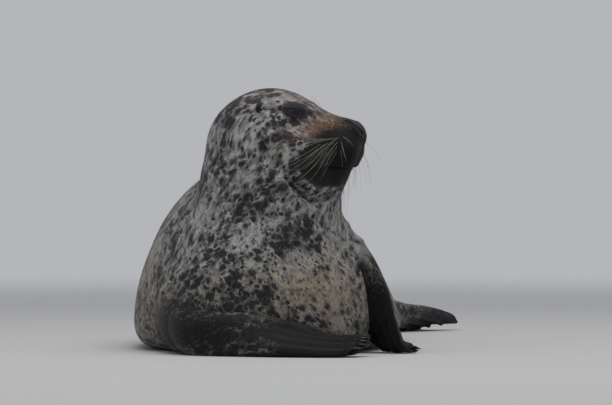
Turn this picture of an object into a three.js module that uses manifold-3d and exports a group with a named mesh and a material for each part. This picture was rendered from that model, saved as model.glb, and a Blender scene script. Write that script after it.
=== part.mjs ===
// A harbor seal, life size, lying on its belly with the chest and neck raised and the face turned left.
// Millimetres, +Z up, the floor at z = 0. The chest is towards -Y, the tail towards +Y, the face looks to +X.
// The flesh is one implicit shape: ellipsoids and cones that melt into each other. A net of rings, from the
// nose to the tail, is blown up until it lies on that shape, and thin cuts part it into named solids.
// Flippers and tail are lofted along stations.
import * as THREE from "three";
import { mergeVertices } from "three/addons/utils/BufferGeometryUtils.js";
import Module from "manifold-3d";

const wasm = await Module();
wasm.setup();

// Driving dimensions.
const gap = 0.4; // left between two solids that meet
const net = { rings: 60, segments: 36 }; // the net of the whole body
const floorSnap = 0.8; // points lower than this lie on the floor
const floorRounding = 52; // reach of the turn from the floor up the flank

const head = {
  origin: [-54, 0, 312], // between the ears, half way down the skull
  yaw: -12, // degrees from +X, negative towards -Y
  eyeRadius: 18.5,
  eye: [47, 44, 39], // forward, to the side and up from the origin
};

// Ellipsoids of the head: centre and radii as forward, side, up. The paired ones stand on both sides.
const headForms = [
  { name: "cranium", at: [-8, 0, -4], r: [81, 79, 68], blend: 1 },
  { name: "forehead", at: [34, 0, 14], r: [54, 48, 38], blend: 20 },
  { name: "bridge", at: [82, 0, 7], r: [56, 36, 31], blend: 24 },
  { name: "muzzle", at: [84, 0, -15], r: [52, 41, 40], blend: 20 },
  { name: "nose", at: [123, 0, 5], r: [21, 25, 21], blend: 14 },
  { name: "jaw", at: [66, 0, -48], r: [52, 38, 34], blend: 18 },
  { name: "throat", at: [20, 0, -48], r: [62, 62, 42], blend: 20 },
  { name: "cheek", at: [26, 40, -26], r: [64, 42, 50], blend: 22, paired: true },
  { name: "brow", at: [44, 36, 40], r: [26, 17, 14], blend: 14, paired: true },
  { name: "whiskerPad", at: [106, 20, -15], r: [33, 25, 29], blend: 10, paired: true },
];

// Neck and chest: a chain of balls, each joined to the next by a cone, and the flesh behind the neck.
const neckBalls = [
  { at: [-52, 0, 296], r: 94 },
  { at: [-54, 2, 236], r: 99 },
  { at: [-60, 4, 110], r: 150 },
];
const neckBlend = 34;
const withers = [
  { at: [-66, 72, 210], r: 94 },
  { at: [-80, 66, 150], r: 126 },
];

// The trunk lies along a curve. Each station has the middle of its widest level, half its width, and its
// height over that level.
const trunkStations = [
  { name: "brisket", at: [-60, -30, 48], w: 148, top: 140 },
  { name: "shoulders", at: [-63, 90, 38], w: 194, top: 232 },
  { name: "ribs", at: [-62, 260, 34], w: 204, top: 250 },
  { name: "belly", at: [-46, 440, 34], w: 202, top: 238 },
  { name: "loin", at: [-12, 630, 34], w: 168, top: 190 },
  { name: "hips", at: [42, 800, 30], w: 112, top: 122 },
  { name: "rump", at: [82, 896, 22], w: 66, top: 52 },
];
const sag = 0.2; // how much wider the trunk is low down than high up
const lean = 0.12; // how far its top leans to the seal's right, as a share of the height
const trunkBlend = 44;
const trunkSamples = 60; // points of the trunk's curve that distances are measured from

// Planes that part the body: a place on each, and the way it faces.
const cuts = {
  throat: { at: [-50, 0, 244], facing: [0.25, -0.05, 0.97] },
  collar: { at: [-56, 0, 182], facing: [0, -0.25, 0.97] },
  shoulder: { at: [-60, 112, 0], facing: [0, -1, 0] },
  waist: { at: [-53, 350, 0], facing: [-0.08, -1, 0] },
  loin: { at: [-12, 630, 0], facing: [-0.26, -0.95, 0] },
};
// The lower jaw: the place of its top edge at the back, in the head's forward, side and up, and its size.
const jaw = { at: [54, 0, -36], length: 120, width: 160, height: 42 };

// The implicit shape.
const radians = (degrees) => (degrees * Math.PI) / 180;
const mix = (a, b, t) => a + (b - a) * t;
const smoothUnion = (a, b, k) => {
  const h = Math.max(k - Math.abs(a - b), 0) / k;
  return Math.min(a, b) - (h * h * k) / 4;
};
const smoothMax = (a, b, k) => -smoothUnion(-a, -b, k);

// About the distance to an ellipsoid, exact on its surface.
function ellipsoid(x, y, z, [rx, ry, rz]) {
  const near = Math.hypot(x / rx, y / ry, z / rz);
  const steep = Math.hypot(x / rx ** 2, y / ry ** 2, z / rz ** 2);
  return steep < 1e-9 ? -Math.min(rx, ry, rz) : (near * (near - 1)) / steep;
}

function headDistance(x, y, z) {
  const turn = radians(head.yaw);
  const [dx, dy, dz] = [x - head.origin[0], y - head.origin[1], z - head.origin[2]];
  const forward = dx * Math.cos(turn) + dy * Math.sin(turn);
  const side = -dx * Math.sin(turn) + dy * Math.cos(turn);
  let found = Infinity;
  for (const form of headForms) {
    const [cx, cy, cz] = form.at;
    const across = form.paired ? Math.abs(side) - cy : side - cy;
    const here = ellipsoid(forward - cx, across, dz - cz, form.r);
    found = found === Infinity ? here : smoothUnion(found, here, form.blend);
  }
  return found;
}

// A ball that grows or shrinks along a straight line from one end to the other.
function cone(x, y, z, from, to) {
  const [ax, ay, az] = from.at;
  const [bx, by, bz] = [to.at[0] - ax, to.at[1] - ay, to.at[2] - az];
  const length = bx * bx + by * by + bz * bz;
  const t = THREE.MathUtils.clamp(((x - ax) * bx + (y - ay) * by + (z - az) * bz) / length, 0, 1);
  return Math.hypot(x - ax - t * bx, y - ay - t * by, z - az - t * bz) - mix(from.r, to.r, t);
}

function neckDistance(x, y, z) {
  const upper = cone(x, y, z, neckBalls[0], neckBalls[1]);
  const lower = smoothUnion(upper, cone(x, y, z, neckBalls[1], neckBalls[2]), neckBlend);
  return smoothUnion(lower, cone(x, y, z, withers[0], withers[1]), neckBlend);
}

const trunkCurve = new THREE.CatmullRomCurve3(
  trunkStations.map((s) => new THREE.Vector3(...s.at)), false, "catmullrom", 0.5,
);
const stationSize = (key, t) => {
  const at = t * (trunkStations.length - 1);
  const i = Math.min(Math.floor(at), trunkStations.length - 2);
  const value = (j) => trunkStations[THREE.MathUtils.clamp(j, 0, trunkStations.length - 1)][key];
  const [a, b, c, d, f] = [value(i - 1), value(i), value(i + 1), value(i + 2), at - i];
  return b + 0.5 * f * (c - a + f * (2 * a - 5 * b + 4 * c - d + f * (3 * (b - c) + d - a)));
};
const spine = Array.from({ length: trunkSamples }, (_, i) => {
  const t = i / (trunkSamples - 1);
  const { x, y, z } = trunkCurve.getPoint(t);
  return { x, y, z, w: stationSize("w", t), top: stationSize("top", t) };
});

// Across the trunk the section is half an ellipse that sags and leans, on sides that go straight down.
function trunkDistance(x, y, z) {
  let nearest = 0;
  let least = Infinity;
  for (let i = 0; i < spine.length; i++) {
    const d = (x - spine[i].x) ** 2 + (y - spine[i].y) ** 2;
    if (d < least) [least, nearest] = [d, i];
  }
  const before = spine[Math.max(nearest - 1, 0)];
  const after = spine[Math.min(nearest + 1, spine.length - 1)];
  const [lx, ly] = [after.x - before.x, after.y - before.y];
  const length = Math.hypot(lx, ly);
  const along = ((x - before.x) * lx + (y - before.y) * ly) / (length * length);
  const t = THREE.MathUtils.clamp(along, 0, 1);
  const middle = {};
  for (const key of ["x", "y", "z", "w", "top"]) middle[key] = mix(before[key], after[key], t);
  const beyond = (along - t) * length;
  const over = Math.max(z - middle.z, 0);
  const side = ((x - middle.x) * ly - (y - middle.y) * lx) / length + lean * over;
  const spread = 1 - sag * Math.min(over / middle.top, 1);
  return ellipsoid(side / spread, beyond, over, [middle.w, Math.min(middle.w, middle.top), middle.top]);
}

function flesh(x, y, z) {
  const upper = smoothUnion(headDistance(x, y, z), neckDistance(x, y, z), 20);
  const whole = smoothUnion(upper, trunkDistance(x, y, z), trunkBlend);
  return smoothMax(whole, -z, floorRounding);
}

// The net of rings.
// The path that the first, thin rings stand round: place, way towards the nose, way to the back, radius.
const path = [
  { at: [70, -26, 302], forward: [1, -0.2, -0.15], up: [0, 0, 1], r: 8 },
  { at: [40, -20, 306], forward: [1, -0.2, 0], up: [0, 0, 1], r: 22 },
  { at: [0, -11, 310], forward: [1, -0.2, 0.1], up: [0, 0, 1], r: 34 },
  { at: [-36, -3, 302], forward: [0.85, -0.15, 0.5], up: [-0.5, 0.1, 0.85], r: 40 },
  { at: [-58, 2, 274], forward: [0.3, -0.1, 0.95], up: [-0.9, 0.3, 0.3], r: 44 },
  { at: [-58, 8, 232], forward: [0, -0.1, 1], up: [-0.7, 0.7, 0.1], r: 50 },
  { at: [-56, 12, 186], forward: [0, -0.25, 0.95], up: [-0.35, 0.87, 0.25], r: 56 },
  { at: [-56, 26, 138], forward: [0, -0.6, 0.8], up: [-0.2, 0.75, 0.6], r: 60 },
  { at: [-60, 90, 116], forward: [0, -0.95, 0.3], up: [0, 0.3, 0.95], r: 62 },
  { at: [-60, 240, 108], forward: [-0.05, -1, 0], up: [0, 0, 1], r: 62 },
  { at: [-46, 430, 100], forward: [-0.13, -1, 0.05], up: [0, 0, 1], r: 58 },
  { at: [-12, 630, 78], forward: [-0.26, -0.95, 0.08], up: [0, 0.05, 1], r: 46 },
  { at: [42, 800, 54], forward: [-0.38, -0.9, 0.15], up: [0, 0.1, 1], r: 30 },
  { at: [74, 878, 36], forward: [-0.42, -0.9, 0.1], up: [0, 0.1, 1], r: 18 },
  { at: [88, 912, 30], forward: [-0.42, -0.9, 0.1], up: [0, 0.1, 1], r: 9 },
];
// Where the rings lie along that path: most of them on the head and neck.
const ringShares = [0, 0.32, 0.6, 1]; // at these shares of the rings
const pathShares = [0, 0.25, 0.53, 1]; // the path has come this far

function interpolate(at, xs, ys) {
  let i = 0;
  while (i < xs.length - 2 && at > xs[i + 1]) i++;
  return mix(ys[i], ys[i + 1], (at - xs[i]) / (xs[i + 1] - xs[i]));
}

function pathFrame(share) {
  const at = share * (path.length - 1);
  const i = Math.min(Math.floor(at), path.length - 2);
  const blended = (key) =>
    new THREE.Vector3(...path[i][key]).lerp(new THREE.Vector3(...path[i + 1][key]), at - i);
  const forward = blended("forward").normalize();
  const up = blended("up").addScaledVector(forward, -blended("up").dot(forward)).normalize();
  return {
    at: blended("at"), forward, up, left: up.clone().cross(forward),
    r: mix(path[i].r, path[i + 1].r, at - i),
  };
}

// Points ring by ring, with one pole before the first ring and one behind the last.
function thinNet() {
  const { rings, segments } = net;
  const points = [];
  for (let i = 0; i < rings; i++) {
    const frame = pathFrame(interpolate(i / (rings - 1), ringShares, pathShares));
    for (let j = 0; j < segments; j++) {
      const angle = (2 * Math.PI * j) / segments;
      points.push(
        frame.at.clone()
          .addScaledVector(frame.up, frame.r * Math.cos(angle))
          .addScaledVector(frame.left, frame.r * Math.sin(angle)),
      );
    }
  }
  points.push(pathFrame(0).at.clone().addScaledVector(pathFrame(0).forward, 10));
  points.push(pathFrame(1).at.clone().addScaledVector(pathFrame(1).forward, -10));
  return points;
}

function neighbours(index, { rings, segments }) {
  const count = rings * segments;
  if (index === count) return Array.from({ length: segments }, (_, j) => j);
  if (index === count + 1) return Array.from({ length: segments }, (_, j) => count - segments + j);
  const [i, j] = [Math.floor(index / segments), index % segments];
  return [
    i * segments + ((j + 1) % segments),
    i * segments + ((j + segments - 1) % segments),
    i > 0 ? index - segments : count,
    i < rings - 1 ? index + segments : count + 1,
  ];
}

// Moves a point straight towards the surface on which the shape's distance is level.
function towards(p, level, share, most) {
  const step = 0.5;
  const here = flesh(p.x, p.y, p.z);
  const rise = new THREE.Vector3(
    flesh(p.x + step, p.y, p.z) - here,
    flesh(p.x, p.y + step, p.z) - here,
    flesh(p.x, p.y, p.z + step) - here,
  ).divideScalar(step);
  const move = THREE.MathUtils.clamp((level - here) * share, -most, most);
  return p.addScaledVector(rise, move / Math.max(rise.lengthSq(), 0.2));
}

// Blows the thin net up to the surface, evening out its points on the way.
function inflate(points) {
  const near = points.map((_, i) => neighbours(i, net));
  const rounds = 80;
  for (let round = 0; round < rounds; round++) {
    const evening = round < rounds - 10 ? 0.6 : 0.3;
    const evened = points.map((p, i) => {
      const mean = new THREE.Vector3();
      for (const n of near[i]) mean.add(points[n]);
      return p.clone().lerp(mean.divideScalar(near[i].length), evening);
    });
    evened.forEach((p, i) => points[i].copy(towards(p, 0, 0.8, 14)));
  }
  return points;
}

function onLevel(points, level) {
  return points.map((p) => {
    const q = p.clone();
    for (let i = 0; i < 6; i++) towards(q, level, 1, 5);
    if (q.z < floorSnap) q.z = -level;
    return q;
  });
}

// Triangles of a net whose two poles come last. Each four-sided mesh is parted along its shorter diagonal.
function netFaces(points, { rings, segments }) {
  const count = rings * segments;
  const faces = [];
  for (let j = 0; j < segments; j++) {
    const k = (j + 1) % segments;
    faces.push(count, k, j);
    for (let i = 0; i < rings - 1; i++) {
      const [a, b] = [i * segments + j, i * segments + k];
      const [c, d] = [a + segments, b + segments];
      if (points[a].distanceTo(points[d]) < points[b].distanceTo(points[c])) faces.push(a, b, d, a, d, c);
      else faces.push(a, b, c, b, d, c);
    }
    faces.push(count + 1, count - segments + j, count - segments + k);
  }
  return faces;
}

// Flippers.
// A blade along stations: each has its centre, the way across its width, half its width and half its
// thickness. Its end slants back from the leading edge, or forks so that the outer digits are the longest.
const blades = {
  fore_flipper_right: {
    slant: 16, fork: 0, claw: 17, clawFace: 1,
    stations: [
      { at: [-176, -40, 62], across: [0, 0.2, 1], w: 40, t: 30 },
      { at: [-150, -118, 38], across: [0, 0.35, 0.9], w: 36, t: 27 },
      { at: [-82, -166, 30], across: [0, 0.6, 0.6], w: 36, t: 22 },
      { at: [-22, -184, 21], across: [-0.1, 0.88, 0.4], w: 40, t: 14 },
      { at: [34, -192, 16], across: [-0.2, 0.92, 0.3], w: 40, t: 9 },
      { at: [66, -191, 17], across: [-0.3, 0.9, 0.26], w: 35, t: 7.5 },
      { at: [82, -188, 20], across: [-0.36, 0.88, 0.22], w: 26, t: 6 },
    ],
  },
  fore_flipper_left: {
    slant: 12, fork: 0, claw: 16, clawFace: -1,
    stations: [
      { at: [44, 30, 150], across: [0.4, -0.8, 0.4], w: 36, t: 24 },
      { at: [79, 0, 124], across: [0.4, -0.85, 0.3], w: 36, t: 20 },
      { at: [101, -21, 84], across: [0.42, -0.88, 0.1], w: 40, t: 14 },
      { at: [112, -34, 44], across: [0.42, -0.9, 0], w: 43, t: 11 },
      { at: [122, -37, 16], across: [0.42, -0.9, 0], w: 43, t: 10 },
      { at: [134, -33, 8], across: [0.4, -0.91, 0], w: 38, t: 8 },
      { at: [148, -28, 6], across: [0.4, -0.91, 0], w: 27, t: 6 },
    ],
  },
  hind_flipper_left: {
    slant: 0, fork: 32, claw: 13, clawFace: -1,
    stations: [
      { at: [62, 800, 44], across: [0.3, 0.1, 1], w: 36, t: 30 },
      { at: [116, 866, 34], across: [0.3, -0.1, 1], w: 31, t: 22 },
      { at: [154, 922, 26], across: [0.5, -0.35, 0.75], w: 30, t: 14 },
      { at: [182, 974, 22], across: [0.7, -0.45, 0.5], w: 38, t: 10 },
      { at: [204, 1026, 15], across: [0.8, -0.5, 0.35], w: 48, t: 7 },
      { at: [214, 1050, 10], across: [0.85, -0.5, 0.2], w: 46, t: 5 },
    ],
  },
  hind_flipper_right: {
    slant: 0, fork: 32, claw: 13, clawFace: 1,
    stations: [
      { at: [26, 850, 44], across: [0, -0.3, 1], w: 36, t: 28 },
      { at: [36, 926, 34], across: [0, -0.2, 1], w: 31, t: 21 },
      { at: [54, 986, 26], across: [-0.4, 0.3, 0.8], w: 30, t: 14 },
      { at: [80, 1042, 22], across: [-0.7, 0.45, 0.5], w: 38, t: 10 },
      { at: [106, 1092, 15], across: [-0.8, 0.5, 0.3], w: 48, t: 7 },
      { at: [120, 1114, 10], across: [-0.85, 0.5, 0.15], w: 46, t: 5 },
    ],
  },
  tail: {
    slant: 0, fork: 0, claw: 0, clawFace: 1,
    stations: [
      { at: [62, 850, 46], across: [0.9, -0.42, 0], w: 32, t: 28 },
      { at: [84, 910, 32], across: [0.9, -0.42, 0], w: 28, t: 20 },
      { at: [105, 962, 17], across: [0.9, -0.42, 0], w: 21, t: 12 },
      { at: [120, 996, 10], across: [0.9, -0.42, 0], w: 15, t: 8 },
      { at: [127, 1012, 7], across: [0.9, -0.42, 0], w: 10, t: 6 },
    ],
  },
};
const blade = { rings: 15, segments: 16 };
const cornerRounding = 12; // how far the outer corners of a blade's end are drawn back
// Where the claws stand across a blade, as shares of half its width.
const digits = [-0.86, -0.45, -0.02, 0.42, 0.84];

function bladeFrame(stations, t) {
  const curve = (key) =>
    new THREE.CatmullRomCurve3(stations.map((s) => new THREE.Vector3(...s[key])), false, "catmullrom", 0.5);
  const sizes = new THREE.CatmullRomCurve3(
    stations.map((s) => new THREE.Vector3(s.w, s.t, 0)), false, "catmullrom", 0.5,
  );
  const along = curve("at").getTangent(t);
  const across = curve("across").getPoint(t);
  across.addScaledVector(along, -across.dot(along)).normalize();
  const size = sizes.getPoint(t);
  const through = along.clone().cross(across);
  return { at: curve("at").getPoint(t), along, across, through, w: size.x, t: size.y };
}

// A place on the blade: t along it, share across it from -1 to 1, raised by lift times the half thickness.
function bladePlace({ stations, slant, fork }, t, share, lift) {
  const frame = bladeFrame(stations, t);
  const late = THREE.MathUtils.smoothstep(t, 0.55, 1);
  const further = late * (slant * share + fork * share ** 2 - cornerRounding * share ** 8);
  const place = frame.at
    .addScaledVector(frame.across, frame.w * share)
    .addScaledVector(frame.through, frame.t * lift)
    .addScaledVector(frame.along, further);
  place.z = Math.max(place.z, 0);
  return { place, along: frame.along };
}

function bladeSolid(limb) {
  const points = [];
  for (let i = 0; i < blade.rings; i++) {
    for (let j = 0; j < blade.segments; j++) {
      const angle = (2 * Math.PI * j) / blade.segments;
      points.push(bladePlace(limb, i / (blade.rings - 1), Math.cos(angle), Math.sin(angle)).place);
    }
  }
  const root = bladeFrame(limb.stations, 0);
  const tip = bladeFrame(limb.stations, 1);
  points.push(root.at.addScaledVector(root.along, -root.t));
  points.push(tip.at.addScaledVector(tip.along, tip.t * 1.2));
  return solidFrom(points, netFaces(points, blade));
}

// A claw is a cone that leaves the face of the blade near its end, and points on and a little down.
function clawSolid(limb, share) {
  const reach = limb.fork ? 0.86 : 0.97;
  const { place, along } = bladePlace(limb, reach, share * 0.92, 0.45 * limb.clawFace);
  const cone = new THREE.ConeGeometry(2.7, limb.claw, 5);
  cone.applyQuaternion(new THREE.Quaternion().setFromUnitVectors(new THREE.Vector3(0, 1, 0), along));
  cone.translate(place.x, place.y, Math.max(place.z, 3.2));
  return solidOf(cone);
}

// Solids.
function solidFrom(points, faces) {
  return new wasm.Manifold(
    new wasm.Mesh({
      numProp: 3,
      vertProperties: new Float32Array(points.flatMap((p) => [p.x, p.y, p.z])),
      triVerts: new Uint32Array(faces),
    }),
  );
}

function solidOf(geometry) {
  const bare = geometry.clone();
  bare.deleteAttribute("normal");
  bare.deleteAttribute("uv");
  const merged = mergeVertices(bare, 1e-4);
  return new wasm.Manifold(
    new wasm.Mesh({
      numProp: 3,
      vertProperties: new Float32Array(merged.attributes.position.array),
      triVerts: new Uint32Array(merged.index.array),
    }),
  );
}

function geometryFrom(solid) {
  const mesh = solid.getMesh();
  const points = new Float32Array(mesh.numVert * 3);
  for (let i = 0; i < mesh.numVert; i++)
    points.set(mesh.vertProperties.subarray(i * mesh.numProp, i * mesh.numProp + 3), i * 3);
  const geometry = new THREE.BufferGeometry();
  geometry.setAttribute("position", new THREE.BufferAttribute(points, 3));
  geometry.setIndex(new THREE.BufferAttribute(mesh.triVerts, 1));
  return geometry;
}

const skinNet = inflate(thinNet());
const bodyFaces = netFaces(skinNet, net);
const bodySolid = solidFrom(onLevel(skinNet, 0), bodyFaces);
const bodyHole = solidFrom(onLevel(skinNet, gap), bodyFaces);

// A block that fills the space in front of a plane.
function spaceBefore([x, y, z], [nx, ny, nz]) {
  const reach = 2600;
  const block = new THREE.BoxGeometry(reach, reach, reach);
  const normal = new THREE.Vector3(nx, ny, nz).normalize();
  block.translate(0, reach / 2, 0);
  block.applyQuaternion(new THREE.Quaternion().setFromUnitVectors(new THREE.Vector3(0, 1, 0), normal));
  block.translate(x + (normal.x * gap) / 2, y + (normal.y * gap) / 2, z + (normal.z * gap) / 2);
  return solidOf(block);
}

function part(solid, { at, facing }) {
  const front = solid.intersect(spaceBefore(at, facing));
  const back = solid.intersect(spaceBefore(at, facing.map((n) => -n)));
  return [front, back];
}

// From the head's own forward, side and up to the place in the world.
function fromHead([forward, side, up]) {
  const turn = radians(head.yaw);
  return new THREE.Vector3(
    head.origin[0] + forward * Math.cos(turn) - side * Math.sin(turn),
    head.origin[1] + forward * Math.sin(turn) + side * Math.cos(turn),
    head.origin[2] + up,
  );
}

function eyeBall(side, extra) {
  const ball = new THREE.SphereGeometry(head.eyeRadius + extra, 14, 9);
  const [forward, aside, up] = head.eye;
  const { x, y, z } = fromHead([forward, aside * side, up]);
  ball.rotateX(Math.PI / 2);
  ball.translate(x, y, z);
  return solidOf(ball);
}

// The block that holds the lower jaw: its top is the mouth's line.
function jawBlock(extra) {
  const { length, width, height, at } = jaw;
  const block = new THREE.BoxGeometry(length + 2 * extra, width, height + 2 * extra);
  block.rotateZ(radians(head.yaw));
  const { x, y, z } = fromHead([at[0] + length / 2, at[1], at[2] - height / 2]);
  block.translate(x, y, z);
  return solidOf(block);
}

// Putting the seal together.
const seal = new THREE.Group();

function add(name, solid, finish) {
  const mesh = new THREE.Mesh(geometryFrom(solid), new THREE.MeshStandardMaterial(finish));
  mesh.name = name;
  seal.add(mesh);
}

const [foreBody, rearBody] = part(bodySolid, cuts.shoulder);
const [headAndNeck, chest] = part(foreBody, cuts.collar);
const [wholeHead, neck] = part(headAndNeck, cuts.throat);
const [trunkFront, behindWaist] = part(rearBody, cuts.waist);
const [trunkRear, hips] = part(behindWaist, cuts.loin);
const skull = wholeHead.subtract(eyeBall(1, gap)).subtract(eyeBall(-1, gap));

const coat = { color: 0xb8b2a6, roughness: 0.85 };
const darkSkin = { color: 0x4a4744, roughness: 0.7 };
const wetEye = { color: 0x14100e, roughness: 0.08 };

add("head", skull.subtract(jawBlock(gap)), coat);
add("lower_jaw", skull.intersect(jawBlock(0)), coat);
add("neck", neck, coat);
add("chest", chest, coat);
add("trunk_front", trunkFront, coat);
add("trunk_rear", trunkRear, coat);
add("hips", hips, coat);
add("eye_left", eyeBall(1, 0), wetEye);
add("eye_right", eyeBall(-1, 0), wetEye);
for (const [name, limb] of Object.entries(blades)) {
  let solid = bladeSolid(limb);
  if (limb.claw) for (const share of digits) solid = solid.add(clawSolid(limb, share));
  add(name, solid.subtract(bodyHole), darkSkin);
}

// The origin is on the floor, under the middle of the whole seal.
const middle = new THREE.Box3().setFromObject(seal).getCenter(new THREE.Vector3());
seal.position.set(-middle.x, -middle.y, 0);

export default seal;
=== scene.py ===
import math
import time

import bpy
import numpy as np
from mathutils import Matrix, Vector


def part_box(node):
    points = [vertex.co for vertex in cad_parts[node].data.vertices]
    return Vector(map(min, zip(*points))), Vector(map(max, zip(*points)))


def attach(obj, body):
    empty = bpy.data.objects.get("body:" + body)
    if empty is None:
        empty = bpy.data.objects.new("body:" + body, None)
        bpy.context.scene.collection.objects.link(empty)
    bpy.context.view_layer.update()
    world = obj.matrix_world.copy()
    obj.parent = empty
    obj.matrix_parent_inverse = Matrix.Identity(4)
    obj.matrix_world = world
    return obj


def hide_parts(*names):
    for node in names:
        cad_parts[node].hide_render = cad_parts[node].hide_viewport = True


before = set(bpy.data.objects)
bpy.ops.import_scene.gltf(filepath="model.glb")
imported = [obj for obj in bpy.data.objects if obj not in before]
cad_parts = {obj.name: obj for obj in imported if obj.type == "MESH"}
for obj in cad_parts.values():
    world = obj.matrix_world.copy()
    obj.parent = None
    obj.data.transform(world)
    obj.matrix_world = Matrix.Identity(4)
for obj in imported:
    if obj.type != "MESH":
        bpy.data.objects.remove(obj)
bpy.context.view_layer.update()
started = time.time()
random = np.random.default_rng(7)


def stage(text):
    print(f"{time.time() - started:6.1f} s  {text}", flush=True)


# All shapes are worked out in millimetres in the seal's own layout: chest towards -Y, face towards +X, floor
# at z = 0. The part's box is centred on the origin, so place() moves a finished shape by the difference and
# turns it to metres.

skull = {
    "origin": (-54, 0, 312),  # between the ears
    "yaw": -12,  # degrees from +X, negative towards -Y
    "eyeRadius": 18.5,
    "eye": (47, 44, 39),  # forward, to the side and up from the origin
}
# Ellipsoids of the head: centre and radii as forward, side, up, the reach of the melt into the ones before,
# and whether one stands on each side.
headForms = {
    "cranium": ((-8, 0, -4), (81, 79, 68), 1, False),
    "forehead": ((34, 0, 14), (54, 48, 38), 20, False),
    "bridge": ((82, 0, 7), (56, 36, 31), 24, False),
    "muzzle": ((84, 0, -15), (52, 41, 40), 20, False),
    "nose": ((123, 0, 5), (21, 25, 21), 14, False),
    "jaw": ((66, 0, -48), (52, 38, 34), 18, False),
    "throat": ((20, 0, -48), (62, 62, 42), 20, False),
    "cheek": ((26, 40, -26), (64, 42, 50), 22, True),
    "brow": ((44, 36, 40), (26, 17, 14), 14, True),
    "whiskerPad": ((106, 20, -15), (33, 25, 29), 10, True),
}
# Cones between balls: place and radius of both ends.
neckForms = {
    "neck": ((-52, 0, 296), 94, (-54, 2, 236), 99),
    "chest": ((-54, 2, 236), 99, (-60, 4, 110), 150),
    "withers": ((-66, 72, 210), 94, (-80, 66, 150), 126),
}
# Stations along the trunk: the middle of the widest level, half the width, and the height above that level.
trunk = {
    "brisket": ((-60, -30, 48), 148, 140),
    "shoulders": ((-63, 90, 38), 194, 232),
    "ribs": ((-62, 260, 34), 204, 250),
    "belly": ((-46, 440, 34), 202, 238),
    "loin": ((-12, 630, 34), 168, 190),
    "hips": ((42, 800, 30), 112, 122),
    "rump": ((82, 896, 22), 66, 52),
}
body = {
    "headBlend": 20,  # reach of the melt between head and neck
    "neckBlend": 34,
    "trunkBlend": 44,
    "trunkSteps": 90,
    "sag": 0.2,  # how much wider the trunk is low down than high up
    "lean": 0.12,  # how far its top leans to the seal's right
    "floorRounding": 52,
}
# How deep the skin lies under the flesh's outline, in mm.
coatDepth = {
    "trunk": 5, "neck": 4, "head": 2.2, "muzzle": 1.2, "flipper": 1.2,
    "headFrom": (-60, 10),  # forward of the head's middle, where this depth starts and where it is full
    "muzzleFrom": (60, 100),
    "nearFloor": (4, 60, 0.1),  # between these heights it shrinks to this share
}
neckHeights = (150, 240)  # above the floor, where the neck's sizes start and where they are full
chinHeights = (-110, -60)  # from the head's middle, where the head's sizes start and where they are full
floorGap = {"limb": 0.2, "skin": 0.3, "hair": 0.2}  # mm that these keep above the floor


def unit(v):
    return v / np.maximum(np.linalg.norm(v, axis=-1, keepdims=True), 1e-9)


# a + (b - a) t.
def mix(a, b, t):
    return a + (b - a) * t


# t runs from 0 at low to 1 at high, then t * t * (3 - 2 t).
def smoothstep(low, high, x):
    t = np.clip((x - low) / (high - low), 0, 1)
    return t * t * (3 - 2 * t)


# min(a, b) - h * h * k / 4 with h = max(k - |a - b|, 0) / k.
def smoothMin(a, b, k):
    h = np.maximum(k - np.abs(a - b), 0) / k
    return np.minimum(a, b) - h * h * k / 4


# n (n - 1) / s with n = |p / r| and s = |p / r^2|: about the distance to an ellipsoid, exact on its surface.
def ellipsoidDistance(p, r):
    near = np.linalg.norm(p / r, axis=-1)
    steep = np.linalg.norm(p / (r * r), axis=-1)
    return np.where(steep < 1e-9, -np.min(r, axis=-1), near * (near - 1) / np.maximum(steep, 1e-9))


# Distance to the segment from a to b, less a radius mixed along it.
def coneDistance(p, a, ra, b, rb):
    a, b = np.array(a, float), np.array(b, float)
    t = np.clip((p - a) @ (b - a) / ((b - a) @ (b - a)), 0, 1)
    return np.linalg.norm(p - a - t[..., None] * (b - a), axis=-1) - mix(ra, rb, t)


yaw = math.radians(skull["yaw"])
headAxes = np.array([
    [math.cos(yaw), math.sin(yaw), 0],
    [-math.sin(yaw), math.cos(yaw), 0],
    [0, 0, 1],
])
headOrigin = np.array(skull["origin"], float)


# To forward, side and up from the head's middle, and back.
def toHead(p):
    return (p - headOrigin) @ headAxes.T


def fromHead(q):
    return np.asarray(q, float) @ headAxes + headOrigin


# Both sides of the head folded onto its left one.
def oneSide(q):
    return np.stack([q[..., 0], np.abs(q[..., 1]), q[..., 2]], -1)


# The middle of an eye, on side -1 or 1.
def eyeCentre(side):
    return np.array(skull["eye"], float) * (1, side, 1)


# The smooth minimum of the distances to all ellipsoids of the head, one after another.
def headDistance(p):
    q = toHead(p)
    found = None
    for at, r, blend, paired in headForms.values():
        here = oneSide(q) if paired else q
        d = ellipsoidDistance(here - np.array(at, float), np.array(r, float))
        found = d if found is None else smoothMin(found, d, blend)
    return found


# The smooth minimum of the distances to the cones of the neck.
def neckDistance(p):
    found = None
    for form in neckForms.values():
        d = coneDistance(p, *form)
        found = d if found is None else smoothMin(found, d, body["neckBlend"])
    return found


# Catmull-Rom curve through the rows of values, at t from 0 to 1.
# It is p1 + f/2 (p2 - p0 + f (2 p0 - 5 p1 + 4 p2 - p3 + f (3 (p1 - p2) + p3 - p0))), with f past point p1.
def catmull(values, t):
    values = np.array(values, float)
    values = np.concatenate([[2 * values[0] - values[1]], values, [2 * values[-1] - values[-2]]])
    at = np.clip(np.asarray(t, float), 0, 1) * (len(values) - 3)
    i = np.minimum(at.astype(int), len(values) - 4)
    f = (at - i)[..., None]
    p0, p1, p2, p3 = (values[i + k] for k in range(4))
    return p1 + 0.5 * f * (p2 - p0 + f * (2 * p0 - 5 * p1 + 4 * p2 - p3 + f * (3 * (p1 - p2) + p3 - p0)))


trunkStations = [(*at, w, top) for at, w, top in trunk.values()]
trunkRows = catmull(trunkStations, np.linspace(0, 1, body["trunkSteps"]))


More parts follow.
